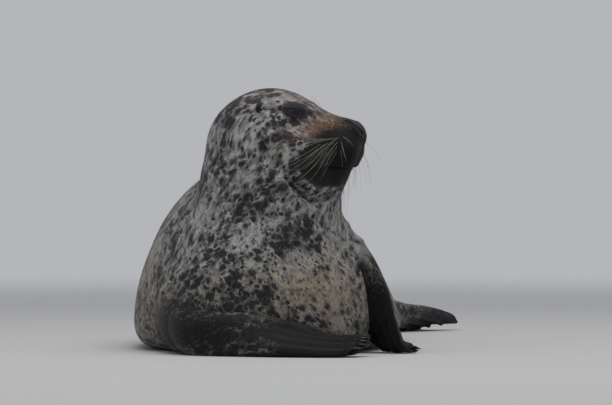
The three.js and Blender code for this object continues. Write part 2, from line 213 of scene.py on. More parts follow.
# The section across the trunk is half an ellipse that sags and leans, on sides that go straight down.
def trunkDistance(p):
    nearest = np.argmin(((p[:, None, :2] - trunkRows[None, :, :2]) ** 2).sum(-1), axis=1)
    before = trunkRows[np.maximum(nearest - 1, 0)]
    after = trunkRows[np.minimum(nearest + 1, len(trunkRows) - 1)]
    way = after[:, :2] - before[:, :2]
    length = np.linalg.norm(way, axis=1)
    along = ((p[:, :2] - before[:, :2]) * way).sum(1) / length ** 2
    t = np.clip(along, 0, 1)
    middle = mix(before, after, t[:, None])
    w, top = middle[:, 3], middle[:, 4]
    over = np.maximum(p[:, 2] - middle[:, 2], 0)
    across = ((p[:, 0] - middle[:, 0]) * way[:, 1] - (p[:, 1] - middle[:, 1]) * way[:, 0]) / length
    spread = 1 - body["sag"] * np.minimum(over / top, 1)
    q = np.stack([(across + body["lean"] * over) / spread, (along - t) * length, over], 1)
    return ellipsoidDistance(q, np.stack([w, np.minimum(w, top), top], 1))


# The whole animal without its limbs: the distance to its surface, cut off softly by the floor.
def flesh(p):
    shape = p.shape[:-1]
    p = p.reshape(-1, 3)
    upper = smoothMin(headDistance(p), neckDistance(p), body["headBlend"])
    whole = smoothMin(upper, trunkDistance(p), body["trunkBlend"])
    return -smoothMin(-whole, p[:, 2], body["floorRounding"]).reshape(shape)


# The rise of the distance along x, y and z, by differences over half a millimetre.
def fleshRise(p, here):
    step = 0.5
    return np.stack([flesh(p + step * axis) - here for axis in np.eye(3)], -1) / step


# Moves points straight towards the surface on which the distance is level, by (level - distance) share over
# the slope.
def towards(p, level, share, most):
    leastSlope = 0.2
    here = flesh(p)
    rise = fleshRise(p, here)
    move = np.clip((level - here) * share, -most, most) / np.maximum((rise ** 2).sum(-1), leastSlope)
    return p + rise * move[..., None]


# A size that differs over the seal: mixed from trunk to neck by the height, then to head and to muzzle by how
# far forward a place is.
def sizeAt(p, sizes):
    q = toHead(p)
    aboveChin = smoothstep(*chinHeights, q[..., 2])
    size = mix(sizes["trunk"], sizes["neck"], smoothstep(*neckHeights, p[..., 2]))
    size = mix(size, sizes["head"], smoothstep(*sizes["headFrom"], q[..., 0]) * aboveChin)
    return mix(size, sizes["muzzle"], smoothstep(*sizes["muzzleFrom"], q[..., 0]) * aboveChin)


# The level of the skin: as far inside the flesh as the coat is deep, and less near the floor.
def coatLevel(p):
    low, high, least = coatDepth["nearFloor"]
    return -sizeAt(p, coatDepth) * mix(least, 1, smoothstep(low, high, p[..., 2]))


# Brings points to the level of the skin in a few moves of at most so many mm.
def toSkin(p, most):
    rounds = 5
    for turn in range(rounds):
        p = towards(p, coatLevel(p), 1, most)
    return p


# Lifts what is under the floor, or too near to it.
def offFloor(p, kind):
    p[..., 2] = np.maximum(p[..., 2], floorGap[kind])
    return p


# The path that the first, thin rings of the net stand round: place, way towards the nose, way to the back,
# radius.
netPath = [
    ((70, -26, 302), (1, -0.2, -0.15), (0, 0, 1), 8),
    ((40, -20, 306), (1, -0.2, 0), (0, 0, 1), 22),
    ((0, -11, 310), (1, -0.2, 0.1), (0, 0, 1), 34),
    ((-36, -3, 302), (0.85, -0.15, 0.5), (-0.5, 0.1, 0.85), 40),
    ((-58, 2, 274), (0.3, -0.1, 0.95), (-0.9, 0.3, 0.3), 44),
    ((-58, 8, 232), (0, -0.1, 1), (-0.7, 0.7, 0.1), 50),
    ((-56, 12, 186), (0, -0.25, 0.95), (-0.35, 0.87, 0.25), 56),
    ((-56, 26, 138), (0, -0.6, 0.8), (-0.2, 0.75, 0.6), 60),
    ((-60, 90, 116), (0, -0.95, 0.3), (0, 0.3, 0.95), 62),
    ((-60, 240, 108), (-0.05, -1, 0), (0, 0, 1), 62),
    ((-46, 430, 100), (-0.13, -1, 0.05), (0, 0, 1), 58),
    ((-12, 630, 78), (-0.26, -0.95, 0.08), (0, 0.05, 1), 46),
    ((42, 800, 54), (-0.38, -0.9, 0.15), (0, 0.1, 1), 30),
    ((74, 878, 36), (-0.42, -0.9, 0.1), (0, 0.1, 1), 18),
    ((88, 912, 30), (-0.42, -0.9, 0.1), (0, 0.1, 1), 9),
]
net = {
    "coarseRings": 60,
    "coarseSegments": 36,
    "ringShares": (0, 0.32, 0.6, 1),  # at these shares of the rings
    "pathShares": (0, 0.25, 0.53, 1),  # the path has come this far
    "poleOut": 10,  # mm that the poles start past the first and the last ring
    "rounds": 80,
    "lastRounds": 10,  # these even the points less
    "evening": (0.6, 0.3),  # how far each point goes towards its neighbours' mean, before and then
    "move": (0.8, 14),  # share of the way to the surface, and mm at most
    "settle": 6,  # mm at most in each move to the skin's level
    "rings": 276,
    "segments": 248,
    "closeRings": ((7, 9, 3.4), (22, 9, 0.5)),  # at face and neck: coarse ring, reach, how much closer
}


# Middle, way forward, way up, way to the left and radius of the path, at shares of its length from 0 to 1.
def pathFrames(share):
    at = share * (len(netPath) - 1)
    i = np.minimum(at.astype(int), len(netPath) - 2)
    f = (at - i)[:, None]
    rows = [np.array([r[k] for r in netPath], float).reshape(len(netPath), -1) for k in range(4)]
    middle, forward, up, r = (mix(row[i], row[i + 1], f) for row in rows)
    forward = unit(forward)
    up = unit(up - forward * (up * forward).sum(1, keepdims=True))
    return middle, forward, up, np.cross(up, forward), r


# What stands before and after each ring of a net, its poles at the ends.
def ringsBeside(grid, poles):
    first, last = (np.broadcast_to(pole, grid[:1].shape) for pole in poles)
    return np.concatenate([first, grid[:-1]]), np.concatenate([grid[1:], last])


# A net of rings, blown up from thin rings round the path until it lies on the flesh.
# Each round evens every point towards the mean of its four neighbours, then moves it to the surface.
def coarseNet():
    rings, segments = net["coarseRings"], net["coarseSegments"]
    share = np.interp(np.arange(rings) / (rings - 1), net["ringShares"], net["pathShares"])
    middle, forward, up, left, r = pathFrames(share)
    angle = 2 * np.pi * np.arange(segments) / segments
    grid = middle[:, None] + r[:, None] * (
        np.cos(angle)[None, :, None] * up[:, None] + np.sin(angle)[None, :, None] * left[:, None]
    )
    out = net["poleOut"]
    poles = np.stack([middle[0] + out * forward[0], middle[-1] - out * forward[-1]])
    for turn in range(net["rounds"]):
        evening = net["evening"][turn >= net["rounds"] - net["lastRounds"]]
        before, after = ringsBeside(grid, poles)
        mean = (np.roll(grid, 1, 1) + np.roll(grid, -1, 1) + before + after) / 4
        polesMean = np.stack([grid[0].mean(0), grid[-1].mean(0)])
        grid = towards(mix(grid, mean, evening), 0, *net["move"])
        poles = towards(mix(poles, polesMean, evening), 0, *net["move"])
    return grid, poles


# Catmull-Rom weights for four neighbours, at a share f past the second.
def weights(f):
    return np.stack([
        0.5 * (-f + 2 * f ** 2 - f ** 3),
        0.5 * (2 - 5 * f ** 2 + 3 * f ** 3),
        0.5 * (f + 4 * f ** 2 - 3 * f ** 3),
        0.5 * (f ** 3 - f ** 2),
    ])


# Reads a net between its points. Ring -1 and ring "rings" are the poles, and past them the net goes on down
# the other side, half a turn round.
def resample(grid, poles, v, u):
    segments = grid.shape[1]
    half = segments // 2
    pole = np.broadcast_to(poles[:, None], (2, segments, 3))
    tall = np.concatenate([
        np.roll(grid[:1], half, 1), pole[:1], grid, pole[1:], np.roll(grid[-1:], half, 1),
        np.roll(grid[-2:-1], half, 1),
    ])
    i = np.floor(v).astype(int)
    rows = sum(
        w[:, None, None] * tall[np.clip(i + k + 1, 0, len(tall) - 1)] for k, w in enumerate(weights(v - i))
    )
    j = np.floor(u).astype(int)
    return sum(w[None, :, None] * rows[:, (j + k - 1) % segments] for k, w in enumerate(weights(u - j)))


# 1 plus, for each place where the rings stand closer, much * exp(-((x - ring) / reach)^2).
def ringDensity(x):
    density = 1
    for ring, reach, much in net["closeRings"]:
        density = density + much * np.exp(-(((x - ring) / reach) ** 2))
    return density


# Positions from 0 to length whose spacing goes as one over the density there.
def spaced(length, count, density):
    steps = 4000
    x = np.linspace(0, length, steps)
    total = np.concatenate([[0], np.cumsum((density(x[1:]) + density(x[:-1])) / 2)])
    return np.interp((np.arange(count) + 0.5) / count, total / total[-1], x)


stage("flesh")
coarse, coarsePoles = coarseNet()
ringAt = spaced(net["coarseRings"] + 1, net["rings"], ringDensity) - 1
segmentAt = np.arange(net["segments"]) * net["coarseSegments"] / net["segments"]
skinNet = resample(coarse, coarsePoles, ringAt, segmentAt)
stage("net read between its points")
skinNet = toSkin(skinNet, net["settle"])
stage("net on the flesh")

# Limbs: stations with the centre, the way across the width, half the width and half the thickness. The end
# slants back from the leading edge, or forks so that the outer digits are the longest. "face" is the side
# that the claws are on.
limbs = {
    "foreRight": {
        "slant": 16, "fork": 0, "claw": 17, "face": 1,
        "stations": [
            ((-176, -40, 62), (0, 0.2, 1), 40, 30),
            ((-150, -118, 38), (0, 0.35, 0.9), 36, 27),
            ((-82, -166, 30), (0, 0.6, 0.6), 36, 22),
            ((-22, -184, 21), (-0.1, 0.88, 0.4), 40, 14),
            ((34, -192, 16), (-0.2, 0.92, 0.3), 40, 9),
            ((66, -191, 17), (-0.3, 0.9, 0.26), 35, 7.5),
            ((82, -188, 20), (-0.36, 0.88, 0.22), 26, 6),
        ],
    },
    "foreLeft": {
        "slant": 12, "fork": 0, "claw": 16, "face": -1,
        "stations": [
            ((44, 30, 150), (0.4, -0.8, 0.4), 36, 24),
            ((79, 0, 124), (0.4, -0.85, 0.3), 36, 20),
            ((101, -21, 84), (0.42, -0.88, 0.1), 40, 14),
            ((112, -34, 44), (0.42, -0.9, 0), 43, 11),
            ((122, -37, 16), (0.42, -0.9, 0), 43, 10),
            ((134, -33, 8), (0.4, -0.91, 0), 38, 8),
            ((148, -28, 6), (0.4, -0.91, 0), 27, 6),
        ],
    },
    "hindLeft": {
        "slant": 0, "fork": 32, "claw": 13, "face": -1,
        "stations": [
            ((62, 800, 44), (0.3, 0.1, 1), 36, 30),
            ((116, 866, 34), (0.3, -0.1, 1), 31, 22),
            ((154, 922, 26), (0.5, -0.35, 0.75), 30, 14),
            ((182, 974, 22), (0.7, -0.45, 0.5), 38, 10),
            ((204, 1026, 15), (0.8, -0.5, 0.35), 48, 7),
            ((214, 1050, 10), (0.85, -0.5, 0.2), 46, 5),
        ],
    },
    "hindRight": {
        "slant": 0, "fork": 32, "claw": 13, "face": 1,
        "stations": [
            ((26, 850, 44), (0, -0.3, 1), 36, 28),
            ((36, 926, 34), (0, -0.2, 1), 31, 21),
            ((54, 986, 26), (-0.4, 0.3, 0.8), 30, 14),
            ((80, 1042, 22), (-0.7, 0.45, 0.5), 38, 10),
            ((106, 1092, 15), (-0.8, 0.5, 0.3), 48, 7),
            ((120, 1114, 10), (-0.85, 0.5, 0.15), 46, 5),
        ],
    },
    "tail": {
        "slant": 0, "fork": 0, "claw": 0, "face": 1,
        "stations": [
            ((62, 850, 46), (0.9, -0.42, 0), 32, 28),
            ((84, 910, 32), (0.9, -0.42, 0), 28, 20),
            ((105, 962, 17), (0.9, -0.42, 0), 21, 12),
            ((120, 996, 10), (0.9, -0.42, 0), 15, 8),
            ((127, 1012, 7), (0.9, -0.42, 0), 10, 6),
        ],
    },
}
limbShape = {
    "rings": 96,
    "segments": 60,
    "digits": (-0.86, -0.45, -0.02, 0.42, 0.84),  # across the blade, as shares of half its width
    "digitsFrom": (0.38, 0.75),  # along the limb, where they start and where they are full
    "digitWidth": 0.13,
    "digitRise": 0.6,  # share of the half thickness
    "webDip": 0.5,
    "end": 0.1,  # share of the limb over which its end thins
    "thinEnd": 0.75,  # how much of the thickness is lost at the very end
    "tipRound": 1.2,  # how far the end bulges, as a share of its half thickness
    "bladeFrom": (0.55, 1),  # along the limb, where slant, fork and corner start and are full
    "corner": 12,  # how far the outer corners of the end are drawn back
    "toe": (7, 12),  # how far the digits stand out past the web, on the fore and on the hind flippers
    "toeFrom": (0.82, 1),
    "web": 0.6,  # height between web and digit at which the end is neither drawn back nor out
    "join": 34,  # reach of the melt between limb and body
    "joinFrom": (0.5, 0.7),  # along the limb, where the melt fades and where it ends
    "coatShare": 0.15,  # the coat is no deeper than this share of the half thickness
}


# Centre, ways along, across and through, half width and half thickness, at t from 0 to 1 along a limb.
def limbFrame(limb, t):
    rows = [np.array([row[k] for row in limb["stations"]], float) for k in (0, 1, 2, 3)]
    near = 1e-4
    along = unit(catmull(rows[0], np.minimum(t + near, 1)) - catmull(rows[0], np.maximum(t - near, 0)))
    across = catmull(rows[1], t)
    across = unit(across - along * (across * along).sum(-1, keepdims=True))
    size = catmull(np.stack([rows[2], rows[3]], 1), t)
    return catmull(rows[0], t), along, across, np.cross(along, across), size[..., 0], size[..., 1]


# A place on a limb: centre + across w share + through t lift + along (slant share + fork share^2
# - corner share^8 + toe), the last part only near the end. Digits are raised by
# exp(-((share - digit) / width)^2) and the web between them dips.
def limbPlace(limb, t, share, lift):
    at, along, across, through, w, thick = limbFrame(limb, t)
    relief, toe = 1, 0
    if limb["claw"]:
        apart = share[..., None] - np.array(limbShape["digits"])
        ridge = np.exp(-((apart / limbShape["digitWidth"]) ** 2)).max(-1)
        relief = limbShape["digitRise"] * ridge - limbShape["webDip"] * (1 - ridge)
        relief = 1 + smoothstep(*limbShape["digitsFrom"], t) * relief
        toe = limbShape["toe"][limb["fork"] > 0] * smoothstep(*limbShape["toeFrom"], t)
        toe = toe * (ridge - limbShape["web"])
    end = np.clip((t - (1 - limbShape["end"])) / limbShape["end"], 0, 1)
    relief = relief * (1 - limbShape["thinEnd"] * end ** 3)
    late = smoothstep(*limbShape["bladeFrom"], t)
    further = limb["slant"] * share + limb["fork"] * share ** 2 - limbShape["corner"] * share ** 8
    further = late * further + toe
    made = (
        at + across * (w * share)[..., None] + through * (thick * lift * relief)[..., None]
        + along * further[..., None]
    )
    return offFloor(made, "limb"), along


# The net of a limb: limbPlace with share = cos(angle) and lift = sin(angle), and a pole past each end.
def limbNet(limb):
    rings, segments = limbShape["rings"], limbShape["segments"]
    t = np.repeat(np.linspace(0, 1, rings)[:, None], segments, 1)
    angle = np.repeat(2 * np.pi * np.arange(segments)[None] / segments, rings, 0)
    grid = limbPlace(limb, t, np.cos(angle), np.sin(angle))[0]
    at, along, _, _, _, thick = limbFrame(limb, np.array([0.0, 1.0]))
    out = thick * (-1, limbShape["tipRound"])
    return grid, at + along * out[:, None], t, angle


# About the distance to a limb: that to the ellipse of its section at the nearest place along it.
def limbDistance(limb, p):
    steps = 60
    t = np.linspace(0, 1, steps)
    at, along, across, through, w, thick = limbFrame(limb, t)
    near = np.argmin(((p[:, None] - at[None]) ** 2).sum(-1), axis=1)
    d = p - at[near]
    beyond = (d * along[near]).sum(1) * ((near == 0) | (near == len(t) - 1))
    q = np.stack([(d * across[near]).sum(1), (d * through[near]).sum(1), beyond], 1)
    return ellipsoidDistance(q, np.stack([w[near], thick[near], thick[near]], 1))


# k (1 - sqrt(b / k))^2 for b from k / 4 to k: how far a surface swells at a distance b from the form it melts
# into. Two forms that both swell so meet where each has moved k / 4, with one slope.
def swell(b):
    k = limbShape["join"]
    return k * (1 - np.sqrt(np.clip(b / k, 0.25, 1))) ** 2


# Unit normals of a net that is closed across its segments: the cross product of its two ways.
def netNormals(grid, poles):
    before, after = ringsBeside(grid, poles)
    return unit(np.cross(np.roll(grid, -1, 1) - np.roll(grid, 1, 1), after - before))


# The way along a net from ring to ring, which is how the coat lies.
def netLie(grid, poles):
    before, after = ringsBeside(grid, poles)
    return unit(after - before)


# Triangles of a net whose two poles follow its points.
def netFaces(rings, segments):
    i, j = np.meshgrid(np.arange(rings - 1), np.arange(segments), indexing="ij")
    k = (j + 1) % segments
    a, b, c, d = i * segments + j, i * segments + k, (i + 1) * segments + j, (i + 1) * segments + k
    sides = [np.stack([a, b, d], -1).reshape(-1, 3), np.stack([a, d, c], -1).reshape(-1, 3)]
    j = np.arange(segments)
    k, count = (j + 1) % segments, rings * segments
    front = np.stack([np.full(segments, count), k, j], -1)
    back = np.stack([np.full(segments, count + 1), count - segments + j, count - segments + k], -1)
    return np.concatenate([front, *sides, back])


# Soft creases and ridges of the head, in forward, side and up; all stand on both sides. Each is a curve on
# the skin, which is raised by rise * exp(-(d / width)^2) at a distance d from it.
headLines = {
    "nostril": {"at": [(119, 17, 29), (128, 16, 23), (133, 12, 14), (136, 7, 7)], "width": 2.0, "rise": -7},
    "nostrilRim": {"at": [(121, 19, 25), (127, 19, 18), (132, 16, 9)], "width": 5, "rise": 2.2},
    "septum": {"at": [(132, 0, 24), (142, 0, 12), (144, 0, 0)], "width": 5, "rise": 1.4},
    "philtrum": {
        "at": [(144, 0, 0), (142, 0, -14), (134, 0, -28), (126, 0, -38)], "width": 2, "rise": -3,
    },
    "mouth": {
        "at": [(128, 0, -36), (118, 20, -37), (100, 34, -38), (78, 43, -42), (56, 50, -48)],
        "width": 2.4, "rise": -4.5,
    },
    "upperLip": {
        "at": [(126, 10, -30), (118, 24, -30), (100, 38, -31), (80, 46, -35)], "width": 6, "rise": 2.0,
    },
    "padBack": {"at": [(78, 42, 8), (70, 48, -10), (68, 50, -30)], "width": 9, "rise": -1.8},
    "earHole": {"at": [(-3, 70, 40), (0, 70, 43)], "width": 3.4, "rise": -7},
    "earRim": {"at": [(6, 66, 50), (10, 66, 42), (6, 70, 34)], "width": 5, "rise": 1.8},
    "underEye": {"at": [(72, 38, 18), (58, 54, 8), (36, 64, 6)], "width": 8, "rise": -1.6},
}
# Folds of the neck, by x and z as seen from the seal's right.
neckLines = {
    "throatFold": {
        "at": [(-26, 258), (-13, 240), (-1.5, 231), (16, 223), (32, 227), (47, 237)],
        "width": 4, "rise": -10,
    },
    "throatRoll": {
        "at": [(-16, 258), (-5, 247), (6, 240), (18, 235), (34, 238), (46, 246)], "width": 9, "rise": 6,
    },
    "underRoll": {"at": [(-26, 236), (-12, 226), (8, 213), (30, 214)], "width": 9, "rise": 3},
    "creaseBack": {"at": [(-27, 236), (-28, 222), (-27, 208)], "width": 4, "rise": -3},
    "creaseFront": {"at": [(10, 226), (8, 212), (9, 198)], "width": 4, "rise": -3},
    "jowl": {"at": [(-58, 292), (-44, 272), (-28, 258)], "width": 10, "rise": -4},
}
# Where these lines are looked for at all: on the head past this forward, up and side, and on the neck above
# this height and before this y.
lineZones = {"head": (-40, -90, 110), "neck": (150, 60)}
# Folds of the flesh under the skin, away from the head.
softFlesh = {
    "rise": 1.5,
    "apart": (26.0, 38.0, 25.0),  # mm along x, y and z for one radian
    "bent": (47.0, 0.8),  # mm for a radian of the sine that bends them, and how many radians it bends
    "from": (90, 170),  # mm from the head's middle, where they start and are full
}
lids = {
    "gaze": (0.30, 0.954, 0.0),  # forward, side, up
    "tilt": -10,  # degrees that the front corner is turned up
    "half": 12.6,  # half the width of the opening
    "upper": 4.4,
    "lower": 4.3,
    "corner": 1.7,  # 2 is an ellipse, less is an almond
    # Height of the lids over the eyeball, by the distance out from the edge of the opening.
    "out": (-6, -1.4, -0.5, 0.2, 1.2, 2.8, 4.2, 6.0, 8.5, 11),
    "upperRise": (-4, -3, 0.0, 1.4, 2.5, 2.8, 0.9, 3.0, 3.2, 2.2),
    "lowerRise": (-4, -3, 0.0, 1.2, 1.9, 1.7, 1.2, 1.6, 1.8, 1.6),
    "meet": (-3, 3),  # across the line of the corners, where lower turns into upper
    "fade": (5, 16),  # mm out, where the lids turn into the skin as it is
    "clear": (0.6, 1.3),  # from this far out, all skin stays at least this high over the ball
    "reach": 48,  # no skin further than this from the eye's centre is moved
    "ring": (21, 12.5),  # half the width and height of the dark skin round the eye
    "ringAt": (-0.5, 3.6),  # its middle, towards the front and up from the gaze
    "ringBare": (0.7, 1.1),  # shares of the ring over which bare skin turns into coat
    "ringTone": (0.85, 1.4, 0.5),  # and over which this much darkness ends
}


# Brings places given by x and z on to the flesh from the seal's right, along y.
def fromSide(x, z):
    start, rounds, share, most = -420.0, 60, 0.8, 20
    p = np.stack([x, np.full(len(x), start), z], 1)
    for turn in range(rounds):
        p[:, 1] += np.clip(flesh(p), -most, most) * share
    return p


# A smooth curve through some points, laid on the skin.
def lineOnSkin(points):
    steps, most = 60, 8
    return toSkin(catmull(points, np.linspace(0, 1, steps)), most)


# The distance from each place to the nearest point of a line.
def nearestTo(p, line):
    return np.sqrt(((p[:, None] - line[None]) ** 2).sum(-1).min(1))


# How far the skin rises: the soft flesh, rise sin(a) sin(b) sin(c) with each angle a length over "apart" that
# is bent by a second sine, and the lines of head and neck.
def detailRise(p):
    q = toHead(p)
    apart, bent = softFlesh["apart"], softFlesh["bent"]
    waves = [np.sin(p[:, k] / apart[k] + bent[1] * np.sin(p[:, (k + 1) % 3] / bent[0])) for k in range(3)]
    away = smoothstep(*softFlesh["from"], np.linalg.norm(q, axis=1))
    rise = softFlesh["rise"] * waves[0] * waves[1] * waves[2] * away
    folded = oneSide(q)
    forward, up, side = lineZones["head"]
    near = np.flatnonzero((q[:, 0] > forward) & (q[:, 2] > up) & (np.abs(q[:, 1]) < side))
    for line in headLines.values():
        curve = toHead(lineOnSkin(fromHead(line["at"])))
        rise[near] += line["rise"] * np.exp(-((nearestTo(folded[near], curve) / line["width"]) ** 2))
    near = np.flatnonzero((p[:, 2] > lineZones["neck"][0]) & (p[:, 1] < lineZones["neck"][1]))
    for line in neckLines.values():
        curve = lineOnSkin(fromSide(*np.array(line["at"], float).T))
        rise[near] += line["rise"] * np.exp(-((nearestTo(p[near], curve) / line["width"]) ** 2))
    return rise


# The three ways of an eye in the head's axes: along the front corner, up, and out along the gaze.
def eyeAxes(side):
    gaze = unit(np.array(lids["gaze"], float) * (1, side, 1))
    up = unit(np.array([0, 0, 1.0]) - gaze * gaze[2])
    front = unit(np.array([1.0, 0, 0]) - gaze * gaze[0])
    front = unit(front - up * (front @ up))
    tilt = math.radians(lids["tilt"])
    return (
        front * math.cos(tilt) + up * math.sin(tilt),
        up * math.cos(tilt) - front * math.sin(tilt),
        gaze,
    )


# How far a place lies outside the opening of an eye, in mm over the ball, with its direction and how far it
# is from the eye's centre. With q = R angle (x, y) / |x, y|, it is |q| (1 - 1 / rho), with
# rho = (|x/a|^n + |y/h|^n)^(1/n).
def eyeOutside(q, side):
    front, up, gaze = eyeAxes(side)
    d = q - eyeCentre(side)
    far = np.linalg.norm(d, axis=-1)
    x, y, z = d @ front, d @ up, d @ gaze
    flat = np.maximum(np.hypot(x, y), 1e-6)
    arc = skull["eyeRadius"] * np.arccos(np.clip(z / np.maximum(far, 1e-6), -1, 1))
    x, y = x / flat * arc, y / flat * arc
    n = lids["corner"]
    tall = np.where(y > 0, lids["upper"], lids["lower"])
    rho = np.maximum((np.abs(x / lids["half"]) ** n + np.abs(y / tall) ** n) ** (1 / n), 1e-3)
    return arc * (1 - 1 / rho), d, far, y


# The part of the head that is looked at for the eye of one side.
def eyeHalf(q, side):
    offMiddle = 10
    return (q[..., 1] * side > offMiddle) & (q[..., 0] > 0)


# Lids: the skin near an eye moves along the line from the eye's centre to the profile's height over the ball.
def withLids(p):
    q = toHead(p)
    ball = skull["eyeRadius"]
    for side in (-1, 1):
        out, d, far, y = eyeOutside(q, side)
        lower, upper = (np.interp(out, lids["out"], lids[key]) for key in ("lowerRise", "upperRise"))
        wanted = ball + mix(lower, upper, smoothstep(*lids["meet"], y))
        near = eyeHalf(q, side) & (d @ eyeAxes(side)[2] > 2) & (far < lids["reach"])
        moved = mix(far, wanted, 1 - smoothstep(*lids["fade"], out))
        moved = np.where(out > lids["clear"][0], np.maximum(moved, ball + lids["clear"][1]), moved)
        q = q + d * (near * (moved / far - 1))[:, None]
    return fromHead(q)


stage("limbs")
points = skinNet.reshape(-1, 3)
normals = unit(fleshRise(points, flesh(points)))
swollen = np.max([swell(limbDistance(limb, points)) for limb in limbs.values()], axis=0)
points = points + normals * (swollen + detailRise(points))[:, None]
points = offFloor(withLids(points), "skin")
skinNet = points.reshape(skinNet.shape)
skinPoles = np.stack([skinNet[0].mean(0), skinNet[-1].mean(0)])
stage("details")

# Each part of the skin keeps its net, so that the coat can be laid on it. "flow" is a place in a straightened
# body: along the lie, to the left and up. "tile" is the part's left, low, width and height on the OFBake map.
share = np.interp(ringAt / (net["coarseRings"] - 1), net["ringShares"], net["pathShares"])
_, _, ups, lefts, _ = pathFrames(np.clip(share, 0, 1))
lengths = np.linalg.norm(np.diff(skinNet, axis=0, prepend=skinNet[:1]), axis=-1).cumsum(0)
offset = skinNet - skinNet.mean(1)[:, None]
sideways = [(offset * ways[:, None]).sum(-1) for ways in (lefts, ups)]
parts = {
    "body": {
        "grid": skinNet, "poles": skinPoles, "tip": np.zeros(skinNet.shape[:2]),
        "flow": np.stack([lengths, *sideways], -1),
        "left": lefts[:, None] + np.zeros(skinNet.shape), "up": ups[:, None] + np.zeros(skinNet.shape),
        "tile": (0.02, 0.02, 0.60, 0.96),
    },
}
# The flow of the first limb starts this far along and that of each next one this much further, so that no two
# share their spots. Their tiles on the OFBake map stand in two columns.
limbFlow = (1500, 400)
limbTiles = {"left": (0.66, 0.17), "low": (0.02, 0.32), "size": (0.15, 0.30)}
for order, (name, limb) in enumerate(limbs.items()):
    grid, poles, t, angle = limbNet(limb)
    _, _, across, through, w, thick = limbFrame(limb, t)
    normal = netNormals(grid, poles)
    grid = grid - normal * np.minimum(coatDepth["flipper"], thick * limbShape["coatShare"])[..., None]
    join = 1 - smoothstep(*limbShape["joinFrom"], t)
    grid = offFloor(grid + normal * swell(flesh(grid))[..., None] * join[..., None], "skin")
    length = np.linalg.norm(np.diff(grid.mean(1), axis=0), axis=1).sum()
    along = limbFlow[0] + limbFlow[1] * order + t * length
    left = limbTiles["left"][0] + limbTiles["left"][1] * (order % 2)
    low = limbTiles["low"][0] + limbTiles["low"][1] * (order // 2)
    parts[name] = {
        "grid": grid, "poles": poles, "tip": t,
        "flow": np.stack([along, np.cos(angle) * w, np.sin(angle) * thick], -1),
        "left": across, "up": through,
        "tile": (left, low, *limbTiles["size"]),
    }

# "lie" is the way the hair points and "bend" is how fast the skin turns away along it, per mm. "buried" tells
# what is inside another part.
leastStep = 0.3
for name, part in parts.items():
    grid, poles = part["grid"], part["poles"]
    part["normal"] = netNormals(grid, poles)
    part["lie"] = netLie(grid, poles)
    turned = np.gradient(part["normal"], axis=0)
    step = np.linalg.norm(np.gradient(grid, axis=0), axis=-1)
    part["bend"] = (turned * part["lie"]).sum(-1) / np.maximum(step, leastStep)
    if name == "body":
        part["buried"] = swollen.reshape(grid.shape[:2]) / swell(0)
    else:
        part["buried"] = swell(flesh(grid)) / swell(0) * (part["tip"] < limbShape["joinFrom"][1])
stage("skin nets")

# Millimetres in the seal's own layout to metres in the part's frame.
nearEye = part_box("eye_right")
shift = np.array((nearEye[0] + nearEye[1]) / 2) * 1000 - fromHead(eyeCentre(-1))
shift[2] = 0


def place(p):
    return (np.asarray(p, float) + shift) * 0.001


def pad(values, rows):
    return np.concatenate([values.reshape(-1, values.shape[-1]), rows])


# A finished piece from points in millimetres, with its attributes on the points and its map "OFBake".
def makeMesh(name, points, faces, material, attributes, uv=None):
    mesh = bpy.data.meshes.new(name)
    mesh.vertices.add(len(points))
    mesh.vertices.foreach_set("co", place(points).astype(np.float32).ravel())
    mesh.loops.add(faces.size)
    mesh.loops.foreach_set("vertex_index", faces.astype(np.int32).ravel())
    mesh.polygons.add(len(faces))
    mesh.polygons.foreach_set("loop_start", np.arange(0, faces.size, faces.shape[1], dtype=np.int32))
    mesh.polygons.foreach_set("use_smooth", np.full(len(faces), True))
    for key, values in attributes.items():
        values = np.asarray(values, np.float32)
        kind, field = ("FLOAT", "value") if values.ndim == 1 else ("FLOAT_VECTOR", "vector")
        mesh.attributes.new(key, kind, "POINT").data.foreach_set(field, values.ravel())
    if uv is not None:
        corners = uv[faces.ravel()].astype(np.float32).ravel()
        mesh.uv_layers.new(name="OFBake").data.foreach_set("uv", corners)
    mesh.update(calc_edges=True)
    mesh.validate()
    piece = bpy.data.objects.new(name, mesh)
    bpy.context.scene.collection.objects.link(piece)
    mesh.materials.append(material)
    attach(piece, "root")
    return piece


